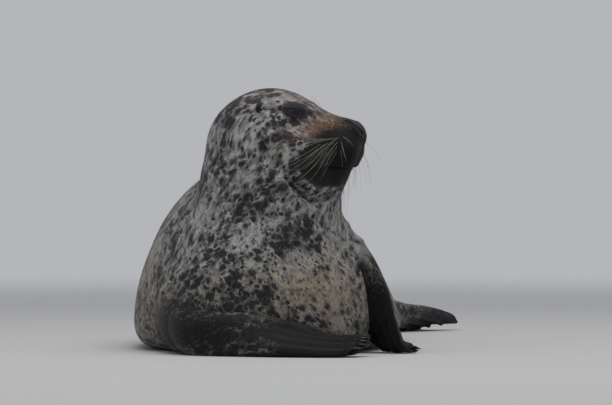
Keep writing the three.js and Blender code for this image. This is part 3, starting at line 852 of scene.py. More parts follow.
# Patches of the coat: the middle and the reach along three ways, and how much they add of each marking. tone
# darkens to charcoal, for dark markings and for painted shade; spots adds to the cover of spots; rust tints;
# cream tints with a cream darkened in part as painted shade; bare shows skin. Head patches stand on both
# sides.
headPatches = {
    "whiskerPad": {"at": (116, 26, -16), "reach": (27, 46, 27), "tone": 1.6},
    "noseTip": {"at": (138, 0, -4), "reach": (13, 34, 22), "tone": 1.2},
    "nosePad": {"at": (136, 0, 16), "reach": (12, 18, 16), "bare": 1.6, "tone": 0.5, "rust": -0.5},
    "lip": {"at": (130, 0, -38), "reach": (10, 22, 5), "bare": 1.0},
    "septum": {"at": (144, 0, 12), "reach": (6, 6, 8), "rust": 0.4},
    "mouthCorner": {"at": (88, 44, -34), "reach": (30, 34, 22), "tone": 1.0},
    "chin": {"at": (106, 10, -50), "reach": (32, 40, 20), "tone": 0.85, "spots": 0.2},
    # jaw: painted shade under the jaw, where it overhangs the throat.
    "jaw": {"at": (74, 36, -60), "reach": (24, 30, 14), "tone": 0.55},
    "jowl": {"at": (58, 58, -40), "reach": (28, 26, 18), "tone": 0.55, "spots": 0.1},
    "noseBridge": {"at": (126, 8, 30), "reach": (14, 16, 10), "tone": 0.3},
    "muzzleTop": {"at": (112, 16, 30), "reach": (28, 30, 15), "rust": 1.9, "tone": 0.3},
    "muzzleSide": {"at": (80, 44, 15), "reach": (24, 22, 12), "rust": 1.5, "spots": -0.2},
    "padTop": {"at": (102, 34, 8), "reach": (20, 22, 9), "rust": 0.9, "tone": 0.3},
    "padBack": {"at": (86, 46, -4), "reach": (18, 26, 14), "tone": 0.34, "rust": 0.5},
    "cheekDark": {"at": (70, 56, -24), "reach": (34, 30, 20), "tone": 0.36, "spots": 0.2},
    "underEyePale": {"at": (42, 62, 16), "reach": (26, 24, 8), "tone": -0.2, "spots": -0.22},
    "overEyePale": {"at": (40, 48, 60), "reach": (26, 20, 7), "tone": -0.15, "spots": -0.2},
    "cheekTan": {"at": (50, 68, 1), "reach": (14, 24, 8), "rust": 0.55},
    "brow": {"at": (52, 26, 56), "reach": (34, 26, 14), "rust": 0.5},
    "crown": {"at": (0, 0, 66), "reach": (70, 80, 30), "spots": 0.1, "rust": 0.2},
    "paleFront": {"at": (80, 32, 32), "reach": (12, 14, 9), "tone": -0.3, "spots": -0.3},
    "cheekCream": {"at": (18, 78, -16), "reach": (18, 34, 22), "creamAndShade": 0.6, "spots": -0.1},
    "ear": {"at": (0, 70, 42), "reach": (8, 14, 7), "tone": 0.8},
}
bodyPatches = {
    "throatShade": {"at": (22, -60, 258), "reach": (28, 70, 15), "tone": 0.6},
    "neckShade": {"at": (-20, -100, 225), "reach": (50, 60, 50), "tone": 0.1, "spots": 0.08},
    "throatPale": {
        "at": (22, -70, 196), "reach": (34, 80, 32), "spots": -0.04, "creamAndShade": 0.2, "tone": 0.07,
    },
    "rightFlank": {"at": (-165, -10, 120), "reach": (50, 130, 60), "spots": 0.16, "tone": 0.12},
    # Along the seal's right rim: fewer spots, as on the coat there, and a little painted light where tone
    # goes below zero.
    "rightRimLight": {
        "at": (-238, 60, 130), "reach": (40, 180, 110), "spots": -0.2, "tone": -0.1, "creamAndShade": 0.3,
    },
    # The chest's cream tint, with a little painted shade from tone and the darker cream, as the chest faces
    # down.
    "chestCreamAndShade": {
        "at": (34, -140, 92), "reach": (78, 90, 56), "creamAndShade": 0.85, "spots": -0.3, "tone": 0.02,
    },
    "farShoulder": {"at": (100, -10, 122), "reach": (14, 44, 26), "tone": 0.24, "spots": 0.25},
    "chestDark": {"at": (-26, -110, 166), "reach": (42, 70, 31), "tone": 0.54, "spots": 0.2},
    "chestLow": {
        "at": (-84, -160, 100), "reach": (84, 60, 34), "tone": 0.26, "spots": 0.2, "creamAndShade": 0.3,
    },
    "flankPale": {"at": (120, 120, 90), "reach": (90, 170, 90), "spots": -0.2, "creamAndShade": 0.4},
    "napeDark": {"at": (-130, 20, 290), "reach": (50, 90, 80), "spots": 0.12},
    # Painted shade low on the seal's right shoulder, towards the floor: tone and the cream tint darken it
    # olive-brown, with a few more spots.
    "lowShoulderShade": {
        "at": (-190, -60, 40), "reach": (80, 110, 50),
        "rust": 0.12, "tone": 0.8, "spots": 0.1, "creamAndShade": 0.7,
    },
    # Painted shade over the right forearm and the low belly by it, with more spots of the coat.
    "forearmShade": {
        "at": (-110, -170, 36), "reach": (100, 60, 36), "tone": 0.56, "spots": 0.3, "creamAndShade": 0.6,
    },
    "back": {"at": (-60, 420, 300), "reach": (120, 500, 110), "spots": 0.18, "tone": 0.1},
    "rump": {"at": (60, 860, 40), "reach": (120, 120, 60), "tone": 0.3},
}
marking = {
    "spots": 0.56,  # cover of spots where no patch changes it
    "lowCreamAndShade": (240, 60, 0.35),  # from this height down to that one, the cream tint, partly painted shade, grows to this much
    "range": (-1, 1.2),
    "limbs": {  # from and to along the limb, how dark and how bare at the end
        "foreRight": (0.3, 0.6, 0.9, 0.1),
        "foreLeft": (0.0, 0.56, 1.0, 0.0),
        "hindLeft": (0.0, 0.75, 0.5, 0.62),
        "hindRight": (0.0, 0.75, 0.5, 0.62),
        "tail": (0.1, 0.9, 0.3, 0.0),
    },
}


# The attributes of skin and coat. Each patch adds its amounts times exp(-|(p - at) / reach|^2), then come the
# rings round the eyes and the limbs. "tip" is how far along its limb a point is.
def attributesOf(p, tip, flow, name):
    made = {key: np.zeros(len(p)) for key in ("tone", "spots", "rust", "creamAndShade", "bare")}
    made["spots"] += marking["spots"]
    high, low, creamAndShade = marking["lowCreamAndShade"]
    made["creamAndShade"] += creamAndShade * smoothstep(high, low, p[:, 2])
    q = toHead(p)
    for patches, points in ((headPatches, oneSide(q)), (bodyPatches, p)):
        for patch in patches.values():
            share = np.exp(-(((points - patch["at"]) / patch["reach"]) ** 2).sum(1))
            for key in made:
                made[key] += patch.get(key, 0) * share
    for side in (-1, 1):
        d = q - eyeCentre(side)
        ways = eyeAxes(side)[:2]
        ring = np.hypot(*((d @ ways[k] - lids["ringAt"][k]) / lids["ring"][k] for k in (0, 1)))
        near = eyeHalf(q, side)
        inner, outer, dark = lids["ringTone"]
        made["bare"] += near * (1 - smoothstep(*lids["ringBare"], ring))
        made["tone"] += near * dark * (1 - smoothstep(inner, outer, ring))
    if name in marking["limbs"]:
        first, last, tone, bare = marking["limbs"][name]
        made["tone"] += tone * smoothstep(first, last, tip)
        made["bare"] += bare * smoothstep(first, last, tip)
    made = {key: np.clip(values, *marking["range"]) for key, values in made.items()}
    marks = np.stack([made["tone"], made["spots"], made["rust"]], 1)
    return {"flow": flow, "marks": marks, "creamAndShade": made["creamAndShade"], "bare": made["bare"]}


# Sets inputs to constants or links them to other nodes' outputs.
def plug(tree, inputs, values):
    for key, value in values.items():
        if isinstance(value, bpy.types.NodeSocket):
            tree.links.new(value, inputs[key])
        else:
            inputs[key].default_value = value


# A new node with its settings and inputs.
def node(tree, kind, inputs=None, **settings):
    made = tree.nodes.new(kind)
    for key, value in settings.items():
        setattr(made, key, value)
    plug(tree, made.inputs, inputs or {})
    return made


def maths(tree, kind, *values, clamp=False):
    made = node(tree, "ShaderNodeMath", dict(enumerate(values)), operation=kind, use_clamp=clamp)
    return made.outputs[0]


def vectors(tree, kind, *values):
    return node(tree, "ShaderNodeVectorMath", dict(enumerate(values)), operation=kind).outputs[0]


# Inputs 6 and 7 and output 2 of the Mix node are its colours.
def blendColour(tree, share, a, b, kind="MIX"):
    inputs = {0: share, 6: a, 7: b}
    return node(tree, "ShaderNodeMix", inputs, data_type="RGBA", blend_type=kind).outputs[2]


# A value from low to high turned into one from start to end, smoothly.
def ramp(tree, value, low, high, start=0.0, end=1.0):
    inputs = {"Value": value, "From Min": low, "From Max": high, "To Min": start, "To Max": end}
    return node(tree, "ShaderNodeMapRange", inputs, interpolation_type="SMOOTHSTEP").outputs[0]


def attribute(tree, name, output="Fac"):
    return node(tree, "ShaderNodeAttribute", attribute_name=name).outputs[output]


def noise(tree, vector, scale, detail, output=0, **more):
    inputs = {"Vector": vector, "Scale": scale, "Detail": detail, **more}
    return node(tree, "ShaderNodeTexNoise", inputs).outputs[output]


def onObject(tree):
    return node(tree, "ShaderNodeTexCoord").outputs["Object"]


# A noise from 0 to 1 turned into one from -reach / 2 to reach / 2.
def around(tree, value, reach):
    return maths(tree, "MULTIPLY_ADD", value, reach, -reach / 2)


# A colour times a number.
def dimmed(tree, colour, light):
    grey = node(tree, "ShaderNodeCombineColor", {0: light, 1: light, 2: light}).outputs[0]
    return blendColour(tree, 1.0, colour, grey, "MULTIPLY")


def bump(tree, height, strength, distance):
    inputs = {"Height": height, "Strength": strength, "Distance": distance}
    return node(tree, "ShaderNodeBump", inputs).outputs[0]


def newMaterial(name):
    material = bpy.data.materials.new(name)
    material.use_nodes = True
    tree = material.node_tree
    return material, tree, tree.nodes["Principled BSDF"].inputs


coatLook = {
    "pale": (0.40, 0.395, 0.385, 1),
    # The cream tint of the coat, made darker in part as painted shade where the coat faces down.
    "creamAndShade": (0.30, 0.252, 0.19, 1),
    "smoke": (0.135, 0.135, 0.138, 1),
    "dark": (0.0125, 0.0125, 0.0135, 1),
    "charcoal": (0.0055, 0.0055, 0.006, 1),
    "slate": (0.028, 0.027, 0.036, 1),  # bare skin
    "rust": (0.145, 0.072, 0.040, 1),
    "along": 0.86,  # spots are longer along the lie of the coat by one over this
    "spots": ((14.0, 0.08, 0.62), (7.0, 0.02, 0.62)),  # mm from one to the next, least and largest size
    "growth": 1.75,  # that size is multiplied by this and by the cover
    "soft": 0.25,  # how far their edges fade, as a share of the mm between them
    "waver": (0.11, 3.0, 7.0),  # what bends them out of round: noise per mm, detail, mm moved
    "fray": (0.4, 2.0, 2.4),  # what frays their edges
    "broad": (0.022, 2.0),  # noise per mm and detail: where there is more and less of everything
    "mottle": (0.35, 4.0),
    "cloud": (0.085, 5.0),
    "streak": (0.16, 1.3, 1.3),  # noise per mm along the hair and across it
    "streakGrain": (1.0, 4.0, 0.65),  # its scale after that, detail and roughness
    # How far noise shifts each of these, from its least to its most.
    "swing": {"cover": 1.2, "creamAndShade": 0.8, "tone": 1.0, "streak": 0.3, "bare": 0.5},
    "smokeCover": (1.9, -0.28),  # how smoke grows with the cover of spots, and from where
    "bareRust": 0.35,  # how much of the rust still tints bare skin
    "ramps": {  # from low to high, and what these become where it isn't 0 and 1
        "smoke": (0.38, 0.62),
        "spots": (0.25, 0.55, 0.8, 1.0),
        "rust": (0.3, 0.6, 0.25, 1.0),
        "tone": (0.16, 0.72),
        "bare": (0.2, 0.8),
        "light": (0.35, 1.0, 0.82, 1.18),
        "roughness": (0.2, 0.8, 0.5, 0.75),
    },
    "mottleLight": 0.35,  # share of the mottle in the light and dark of the hair
    "mottleBump": 0.7,
    "bump": (0.9, 0.0008),  # strength, and depth in metres
    "roughness": 0.62,
    "gloss": (0.14, 0.12),  # of the skin and of the tufts
    "sheen": 0.07,
}


# The colour of skin and coat, from the attributes flow, marks, the cream tint with its painted shade, and
# bare.
# A spot is where the distance to the nearest Voronoi point, in a space stretched along the lie, is under a
# threshold that grows with the cover and differs from cell to cell.
def coatColour(tree):
    look, ramps, swing = coatLook, coatLook["ramps"], coatLook["swing"]
    flow = attribute(tree, "flow", "Vector")
    marks = node(tree, "ShaderNodeSeparateXYZ", {0: attribute(tree, "marks", "Vector")}).outputs
    straight = vectors(tree, "MULTIPLY", flow, (look["along"], 1, 1))
    space = straight
    for scale, detail, far in (look["waver"], look["fray"]):
        wander = vectors(tree, "SUBTRACT", noise(tree, straight, scale, detail, "Color"), (0.5, 0.5, 0.5))
        space = vectors(tree, "ADD", space, vectors(tree, "MULTIPLY", wander, (far, far, far)))
    broad = noise(tree, straight, *look["broad"])
    mottle = noise(tree, space, *look["mottle"])
    cloud = noise(tree, space, *look["cloud"])
    scale, detail, rough = look["streakGrain"]
    streak = noise(tree, vectors(tree, "MULTIPLY", flow, look["streak"]), scale, detail, Roughness=rough)
    cover = maths(tree, "ADD", marks[1], around(tree, broad, swing["cover"]))
    dark = 0.0
    for apart, least, most in look["spots"]:
        cells = node(tree, "ShaderNodeTexVoronoi", {"Vector": space, "Scale": 1 / apart}).outputs
        chance = node(tree, "ShaderNodeSeparateColor", {0: cells["Color"]}).outputs[0]
        edge = maths(tree, "MULTIPLY_ADD", chance, most - least, least)
        edge = maths(tree, "MULTIPLY", edge, maths(tree, "MULTIPLY", cover, look["growth"]))
        inside = maths(tree, "SUBTRACT", cells["Distance"], edge)
        dark = maths(tree, "MAXIMUM", dark, ramp(tree, inside, look["soft"], -look["soft"]))
    # The share of the cream tint, which is partly painted shade.
    creamAndShadeShare = maths(tree, "ADD", attribute(tree, "creamAndShade"), around(tree, broad, swing["creamAndShade"]), clamp=True)
    colour = blendColour(tree, creamAndShadeShare, look["pale"], look["creamAndShade"])
    smoke = maths(tree, "MULTIPLY_ADD", cover, *look["smokeCover"])
    smoke = maths(tree, "MULTIPLY", ramp(tree, cloud, *ramps["smoke"]), smoke, clamp=True)
    colour = blendColour(tree, smoke, colour, look["smoke"])
    dark = maths(tree, "MULTIPLY", dark, ramp(tree, mottle, *ramps["spots"]))
    colour = blendColour(tree, dark, colour, look["dark"])
    tint = maths(tree, "MULTIPLY", marks[2], ramp(tree, mottle, *ramps["rust"]), clamp=True)
    colour = blendColour(tree, tint, colour, look["rust"])
    tone = maths(tree, "ADD", marks[0], around(tree, mottle, swing["tone"]))
    tone = maths(tree, "ADD", tone, around(tree, streak, swing["streak"]))
    colour = blendColour(tree, ramp(tree, tone, *ramps["tone"]), colour, look["charcoal"])
    bare = maths(tree, "ADD", attribute(tree, "bare"), around(tree, mottle, swing["bare"]))
    bare = ramp(tree, bare, *ramps["bare"])
    colour = blendColour(tree, bare, colour, look["slate"])
    tint = maths(tree, "MULTIPLY", maths(tree, "MULTIPLY", marks[2], bare), look["bareRust"], clamp=True)
    colour = blendColour(tree, tint, colour, look["rust"])
    light = maths(tree, "ADD", streak, maths(tree, "MULTIPLY", mottle, look["mottleLight"]))
    return dimmed(tree, colour, ramp(tree, light, *ramps["light"])), streak, mottle


coatSkin, tree, surface = newMaterial("CoatSkin")
colour, streak, mottle = coatColour(tree)
height = maths(tree, "ADD", streak, maths(tree, "MULTIPLY", mottle, coatLook["mottleBump"]))
plug(tree, surface, {
    "Base Color": colour,
    "Normal": bump(tree, height, *coatLook["bump"]),
    "Roughness": ramp(tree, streak, *coatLook["ramps"]["roughness"]),
    "Specular IOR Level": coatLook["gloss"][0],
    "Sheen Weight": coatLook["sheen"],
})

coatHair, tree, surface = newMaterial("CoatHair")
plug(tree, surface, {
    "Base Color": dimmed(tree, coatColour(tree)[0], attribute(tree, "shade")),
    "Roughness": coatLook["roughness"],
    "Specular IOR Level": coatLook["gloss"][1],
    "Sheen Weight": coatLook["sheen"],
})

# Colours and bounds go from the pole of the ball outwards, with "turn" in radians.
eyeLook = {
    "pupil": (0.004, 0.004, 0.005, 1),
    # The iris and edge colours are dark with a bluish painted reflection mixed in; the pupil is plain dark.
    "irisAndReflection": (0.010, 0.0102, 0.020, 1),
    "edge": (0.012, 0.0125, 0.024, 1),
    "irisFrom": (0.22, 0.30),
    "edgeFrom": (0.62, 0.80),
    "edgeWaver": 0.1,
    "grain": (400.0, 3.0),  # noise per metre, and detail
    "roughness": (0.3, 0.7, 0.26, 0.34),
    "gloss": 0.3,
    "wet": (0.06, 0.06),  # weight and roughness of the film of water
}
wetEye, tree, surface = newMaterial("WetEye")
turn = attribute(tree, "turn")
fine = noise(tree, onObject(tree), *eyeLook["grain"])
irisAndReflection = blendColour(tree, ramp(tree, turn, *eyeLook["irisFrom"]), eyeLook["pupil"], eyeLook["irisAndReflection"])
edge = ramp(tree, maths(tree, "MULTIPLY_ADD", fine, eyeLook["edgeWaver"], turn), *eyeLook["edgeFrom"])
plug(tree, surface, {
    "Base Color": blendColour(tree, edge, irisAndReflection, eyeLook["edge"]),
    "Roughness": ramp(tree, fine, *eyeLook["roughness"]),
    "Specular IOR Level": eyeLook["gloss"],
    "Coat Weight": eyeLook["wet"][0],
    "Coat Roughness": eyeLook["wet"][1],
})

hornLook = {
    "root": (0.009, 0.0085, 0.008, 1),
    "tip": (0.045, 0.038, 0.03, 1),
    "grain": (700.0, 3.0),
    "roughness": (0.3, 0.7, 0.28, 0.42),
    "bump": (0.4, 0.0003),
}
horn, tree, surface = newMaterial("Horn")
fine = noise(tree, onObject(tree), *hornLook["grain"])
worn = maths(tree, "MULTIPLY", attribute(tree, "turn"), fine)
plug(tree, surface, {
    "Base Color": blendColour(tree, worn, hornLook["root"], hornLook["tip"]),
    "Roughness": ramp(tree, fine, *hornLook["roughness"]),
    "Normal": bump(tree, fine, *hornLook["bump"]),
})

whiskerLook = {"root": (0.32, 0.29, 0.22, 1), "tip": (0.50, 0.47, 0.37, 1), "roughness": 0.35}
whiskerHair, tree, surface = newMaterial("WhiskerHair")
plug(tree, surface, {
    "Base Color": blendColour(tree, attribute(tree, "turn"), whiskerLook["root"], whiskerLook["tip"]),
    "Roughness": whiskerLook["roughness"],
})
stage("materials")

# The skin as one piece, which replaces all nodes but the eyes.
fleshNodes = [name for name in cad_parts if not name.startswith("eye")]
points, faces, uvs = [], [], []
attributes = {"flow": [], "marks": [], "creamAndShade": [], "bare": []}
first = 0
for name, part in parts.items():
    rings, segments = part["grid"].shape[:2]
    p = pad(part["grid"], part["poles"])
    tip = np.append(part["tip"].ravel(), part["tip"][[0, -1], 0])
    flow = pad(part["flow"], part["flow"][[0, -1]].mean(1))
    for key, values in attributesOf(p, tip, flow, name).items():
        attributes[key].append(values)
    left, low, wide, tall = part["tile"]
    i, j = np.meshgrid((np.arange(rings) + 0.5) / rings, np.arange(segments) / segments, indexing="ij")
    uv = np.stack([left + wide * j, low + tall * i], -1).reshape(-1, 2)
    uvs.append(np.concatenate([uv, [[left, low], [left, low + tall]]]))
    points.append(p)
    faces.append(netFaces(rings, segments) + first)
    first += len(p)
points, faces = np.concatenate(points), np.concatenate(faces)
attributes = {key: np.concatenate(values) for key, values in attributes.items()}
skin = makeMesh("skin", points, faces, coatSkin, attributes, np.concatenate(uvs))
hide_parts(*fleshNodes)
stage(f"skin of {len(faces)} triangles")

eyeball = {
    "rings": 48,
    "segments": 64,
    "inside": 0.1,  # mm that the ball is smaller than the hollow of the lids
    "bulge": (1.0, 0.5),  # mm that the front bulges, and the angle in radians over which it does
}


# A ball of radius R whose front bulges by rise * exp(-(angle / reach)^2), turned so that its pole lies along
# the gaze. The first and the last ring stand 0.7 of a step from the poles.
def eyePiece(side, name, node):
    rings, segments = eyeball["rings"], eyeball["segments"]
    front, up, gaze = eyeAxes(side)
    angle = np.pi * (np.arange(rings) + 0.7) / (rings + 0.4)
    turn = 2 * np.pi * np.arange(segments) / segments
    rise, reach = eyeball["bulge"]
    ball = skull["eyeRadius"] - eyeball["inside"]
    r = ball + rise * np.exp(-((angle / reach) ** 2))
    ring = np.cos(turn)[:, None] * front + np.sin(turn)[:, None] * up * side * -1
    grid = (r * np.cos(angle))[:, None, None] * gaze + (r * np.sin(angle))[:, None, None] * ring
    poles = np.stack([gaze * (ball + rise), gaze * -ball])
    p = fromHead(pad(grid, poles) + eyeCentre(side))
    turned = np.append(np.repeat(angle, segments), [0, np.pi])
    piece = makeMesh(name, p, netFaces(rings, segments), wetEye, {"turn": turned})
    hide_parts(node)


eyePiece(-1, "eyeRight", "eye_right")
eyePiece(1, "eyeLeft", "eye_left")


# Tubes along paths: rings of points round each path, in a frame made from the path's way and a fixed one,
# which no path follows.
def tubes(name, paths, radii, flat, sides, material):
    fixed = np.array([0.31, 0.22, 0.92])
    count, steps = paths.shape[:2]
    way = unit(np.gradient(paths, axis=1))
    across = unit(np.cross(way, fixed))
    up = np.cross(across, way)
    angle = 2 * np.pi * np.arange(sides) / sides
    rings = paths[:, :, None] + radii[:, :, None, None] * (
        np.cos(angle)[:, None] * across[:, :, None] + np.sin(angle)[:, None] * up[:, :, None] * flat
    )
    p = np.concatenate([rings.reshape(count, -1, 3), paths[:, [0, -1]]], 1).reshape(-1, 3)
    first = np.arange(count) * (steps * sides + 2)
    faces = (netFaces(steps, sides)[None] + first[:, None, None]).reshape(-1, 3)
    along = np.append(np.repeat(np.linspace(0, 1, steps), sides), [0, 1])
    makeMesh(name, offFloor(p, "skin"), faces, material, {"turn": np.tile(along, count)})


# Claws taper as sqrt(1 - point t) (1 - thinner t) and droop with t^2, t being the share of their length.
claws = {
    "radius": 2.7,
    "point": 0.98,
    "thinner": 0.35,
    "flat": 0.8,
    "droop": 0.2,
    "sunk": 5,  # mm inside the digit
    "reach": (0.97, 0.86),  # where they start along the limb, on the fore and on the hind flippers
    "inward": 0.92,  # share of the digit's place across the blade
    "over": 0.45,  # share of the half thickness
    "floor": (2.2, 0.4),  # height that they keep at the root over that at the tip, and that at the tip
    "steps": 14,
}
paths, radii = [], []
t = np.linspace(0, 1, claws["steps"])
for limb in limbs.values():
    if not limb["claw"]:
        continue
    reach = np.array([claws["reach"][limb["fork"] > 0]])
    long = limb["claw"] / 2 + claws["sunk"]
    for digit in limbShape["digits"]:
        over = np.array([claws["over"] * limb["face"]])
        at, along = limbPlace(limb, reach, np.array([digit * claws["inward"]]), over)
        through = limbFrame(limb, reach)[3] * limb["face"]
        path = at + along * (long * t - claws["sunk"])[:, None]
        path = path - through * (long * claws["droop"] * t ** 2)[:, None]
        path[:, 2] = np.maximum(path[:, 2], claws["floor"][0] * (1 - t) + claws["floor"][1])
        paths.append(path)
        radii.append(claws["radius"] * np.sqrt(1 - t * claws["point"]) * (1 - claws["thinner"] * t))
tubes("claws", np.array(paths), np.array(radii), claws["flat"], 10, horn)

# Whiskers start on the pads in rows, sweep back and droop: the path is root + length (way t + bend t^2),
# pushed out of the cheek and evened.
whiskers = {
    "rows": (4, -3, -10, -16),  # up from the head's middle
    "columns": (119, 113, 107, 101, 95, 89),  # forward of it
    "backLower": 4,  # mm that the back columns start lower
    "start": 60,  # mm from the middle, from where they slide to the flesh
    "long": 96,  # the back ones
    "longPower": 0.7,  # of how far back they stand
    "sweptPower": 0.6,
    "backDown": 0.1,  # how much more the back ones point down
    "shorter": 0.09,  # how much shorter each lower row is
    "lower": 0.12,  # how much more each lower row points down
    # How long the front ones are, how far they stand off and point forward, how far the back ones lie back,
    # how far all point down, how they bend, and how much thinner each lower row is.
    "right": {
        "short": 36, "out": 0.55, "forward": 0.2, "swept": 1.75, "down": 0.46,
        "bend": (-0.1, 0.2, -0.16), "thinner": 0.17,
    },
    "left": {
        "short": 76, "out": 0.8, "forward": 0.65, "swept": 0.9, "down": 0.7,
        "bend": (-0.34, -0.2, -0.42), "thinner": 0.04,
    },
    "loose": (1, 0.8, 0.1, 0.08, 0.3),  # at random: mm forward and up, then how far ahead, down and bent
    "looseLength": 0.1,
    "radius": (0.27, 0.07),  # of root and tip
    "sunk": 1.5,  # mm inside the pad
    "clear": (0.3, 7),  # they keep off the flesh by this share of the way along them, and mm at most
    "pushed": 6,  # times
    "evened": 40,  # times
    "steps": 24,
}
browHairs = {
    "count": 4,
    "root": (54, 34, 90),  # forward, to the side and up, from where they slide down to the flesh
    "next": (6, -2, 0),  # from one to the next
    "way": (0.2, 0.75, 0.85),
    "back": 0.25,  # how much further back each next one points
    "bend": (-0.2, 0.2, -0.35),
    "long": (22, 4),  # the first, and how much longer each next one is
    "radius": (0.26, 0.06),
    "sunk": 1.5,
}


# Slides a place along one axis of the head until it lies on the flesh.
def slideToFlesh(guess, axis, side):
    rounds, share, most = 30, 0.7, 6
    guess = np.array([guess], float)
    for turn in range(rounds):
        guess[0, axis] -= side * np.clip(flesh(fromHead(guess))[0], -most, most) * share
    return guess


paths, radii = [], []
t = np.linspace(0, 1, whiskers["steps"])[:, None]
for side, own in ((-1, whiskers["right"]), (1, whiskers["left"])):
    for row, height in enumerate(whiskers["rows"]):
        for column, forward in enumerate(whiskers["columns"]):
            back = column / (len(whiskers["columns"]) - 1)
            jitter = random.normal(size=5) * whiskers["loose"]
            up = height + jitter[1] - whiskers["backLower"] * back
            root = slideToFlesh((forward + jitter[0] - row, side * whiskers["start"], up), 1, side)
            normal = unit(fleshRise(fromHead(root), flesh(fromHead(root))))[0] @ headAxes.T
            ahead = own["forward"] - own["swept"] * back ** whiskers["sweptPower"] + jitter[2]
            under = own["down"] * (1 + whiskers["backDown"] * back) + whiskers["lower"] * row + jitter[3]
            way = unit(normal * own["out"] + np.array([ahead, 0, -under]))
            bend = np.array(own["bend"]) * (1, 1, 1 + jitter[4])
            length = mix(own["short"], whiskers["long"], back ** whiskers["longPower"])
            length = length * (1 + whiskers["looseLength"] * jitter[0]) * (1 - whiskers["shorter"] * row)
            path = fromHead(root - normal * whiskers["sunk"] + length * (way * t + bend * t ** 2))
            off = np.minimum(length * t[:, 0] * whiskers["clear"][0], whiskers["clear"][1])
            for turn in range(whiskers["pushed"]):
                here = flesh(path)
                lack = np.maximum(off - whiskers["sunk"] - here, 0)
                path = path + unit(fleshRise(path, here)) * lack[:, None]
            for turn in range(whiskers["evened"]):
                path[2:-1] = (path[1:-2] + path[2:-1] * 2 + path[3:]) / 4
            paths.append(path)
            radii.append(mix(*whiskers["radius"], t[:, 0]) * (1 - own["thinner"] * row))
for side in (-1, 1):
    for k in range(browHairs["count"]):
        start = (np.array(browHairs["root"]) + np.array(browHairs["next"]) * k) * (1, side, 1)
        root = slideToFlesh(start, 2, 1) - (0, 0, browHairs["sunk"])
        way = unit(np.array(browHairs["way"]) * (1, side, 1) - (browHairs["back"] * k, 0, 0))
        bend = np.array(browHairs["bend"]) * (1, side, 1)
        length = browHairs["long"][0] + browHairs["long"][1] * k
        paths.append(fromHead(root + length * (way * t + bend * t ** 2)))
        radii.append(mix(*browHairs["radius"], t[:, 0]))
tubes("whiskers", np.array(paths), np.array(radii), 1.0, 6, whiskerHair)
stage("eyes, claws and whiskers")

# Tufts are thin closed spikes that lie along the skin. Lengths are in mm.
coat = {
    "length": {
        "trunk": 8.5, "neck": 8, "head": 6, "muzzle": 3.6, "limb": 4.6,
        "headFrom": (-60, 20),
        "muzzleFrom": (50, 95),
    },
    "width": 0.11,  # share of the length
    "thick": 0.2,  # share of the width
    "lift": 0.045,  # how far the tip stands off, as a share of the length
    "sink": 0.5,  # mm that the root is under the skin
    "scatter": 0.11,  # how far the tufts turn out of the lie
    "droop": 0.22,  # how far they turn down
    "vary": {  # the least share of the size given, and how much more there is at random
        "length": (0.72, 0.56), "width": (0.75, 0.5), "lift": (0.3, 1.4), "tone": (0.94, 0.12),
    },
    "tipLight": (0.95, 0.09),  # how light the root is, and how much lighter the tip
    "bend": (-0.004, 0.02),  # how fast a tuft follows the skin's turn, at least and at most
    "crowding": 1.7,  # tufts stand as one over this power of their length
    "sharp": (0.02, 0.06, 0.9),  # where the skin turns this fast per mm, this share of the tufts is left out
    "buried": 0.97,  # none stand where a part is further inside another than this
    "aroundEye": 7.5,  # mm
    "bareNose": ((141, 0, 12), (10, 19, 16), 0.4),  # middle, reach and bound of the nose without tufts
    "floor": 2.5,  # none stand under this height
    "tufts": 118000,
    "limbTufts": 19500,
    "quick": 0.35,
    "patch": 0.003,  # width of a tuft on the OFBake map
}


# The length of the hair at a place.
def tuftLength(p, isLimb):
    sizes = coat["length"]
    return np.full(p.shape[:-1], float(sizes["limb"])) if isLimb else sizeAt(p, sizes)


# Where there are no tufts: on the floor, round the openings of the eyes and on the nose.
def isBare(p):
    q = toHead(p)
    bare = p[..., 2] < coat["floor"]
    for side in (-1, 1):
        bare = bare | ((eyeOutside(q, side)[0] < coat["aroundEye"]) & eyeHalf(q, side))
    middle, reach, bound = coat["bareNose"]
    return bare | (np.exp(-(((q - middle) / reach) ** 2).sum(-1)) > bound)


# Draws places on the nets with a chance that goes as area over length^crowding, evenly spread along the
# running total.
def drawPlaces(names, count):
    picks = []
    for name in names:
        part = parts[name]
        grid = part["grid"]
        right = np.roll(grid, -1, 1)
        area = np.linalg.norm(np.cross(right[:-1] - grid[:-1], grid[1:] - grid[:-1]), axis=-1)
        middle = (grid[:-1] + right[1:]) / 2
        weight = area / tuftLength(middle, name != "body") ** coat["crowding"]
        weight = weight * ~isBare(middle) * (part["buried"][:-1] < coat["buried"])
        low, high, lost = coat["sharp"]
        weight = weight * (1 - lost * smoothstep(low, high, np.abs(part["bend"][:-1])))
        picks.append(weight.ravel())
    total = np.cumsum(np.concatenate(picks))
    chosen = np.searchsorted(total, (np.arange(count) + random.random(count)) / count * total[-1])
    chosen = np.minimum(chosen, len(total) - 1)
    first, made = 0, []
    for name, weight in zip(names, picks):
        part = parts[name]
        mine = chosen[(chosen >= first) & (chosen < first + len(weight))] - first
        first += len(weight)
        rings, segments = part["grid"].shape[:2]
        i, j = mine // segments, mine % segments
        k = (j + 1) % segments
        a, b = random.random((2, len(mine)))

        def read(key):
            values = part[key]
            a2, b2 = (a, b) if values.ndim == 2 else (a[:, None], b[:, None])
            return mix(mix(values[i, j], values[i, k], b2), mix(values[i + 1, j], values[i + 1, k], b2), a2)

        left, low, wide, tall = part["tile"]
        drawn = {key: read(key) for key in ("grid", "normal", "lie", "left", "up", "flow", "tip", "bend")}
        drawn["normal"] = unit(drawn["normal"])
        drawn["uv"] = np.stack([left + wide * (j + b) / segments, low + tall * (i + a + 0.5) / rings], 1)
        made.append({**drawn, "part": np.full(len(mine), name), "order": i + a})
    return {key: np.concatenate([m[key] for m in made]) for key in made[0]}


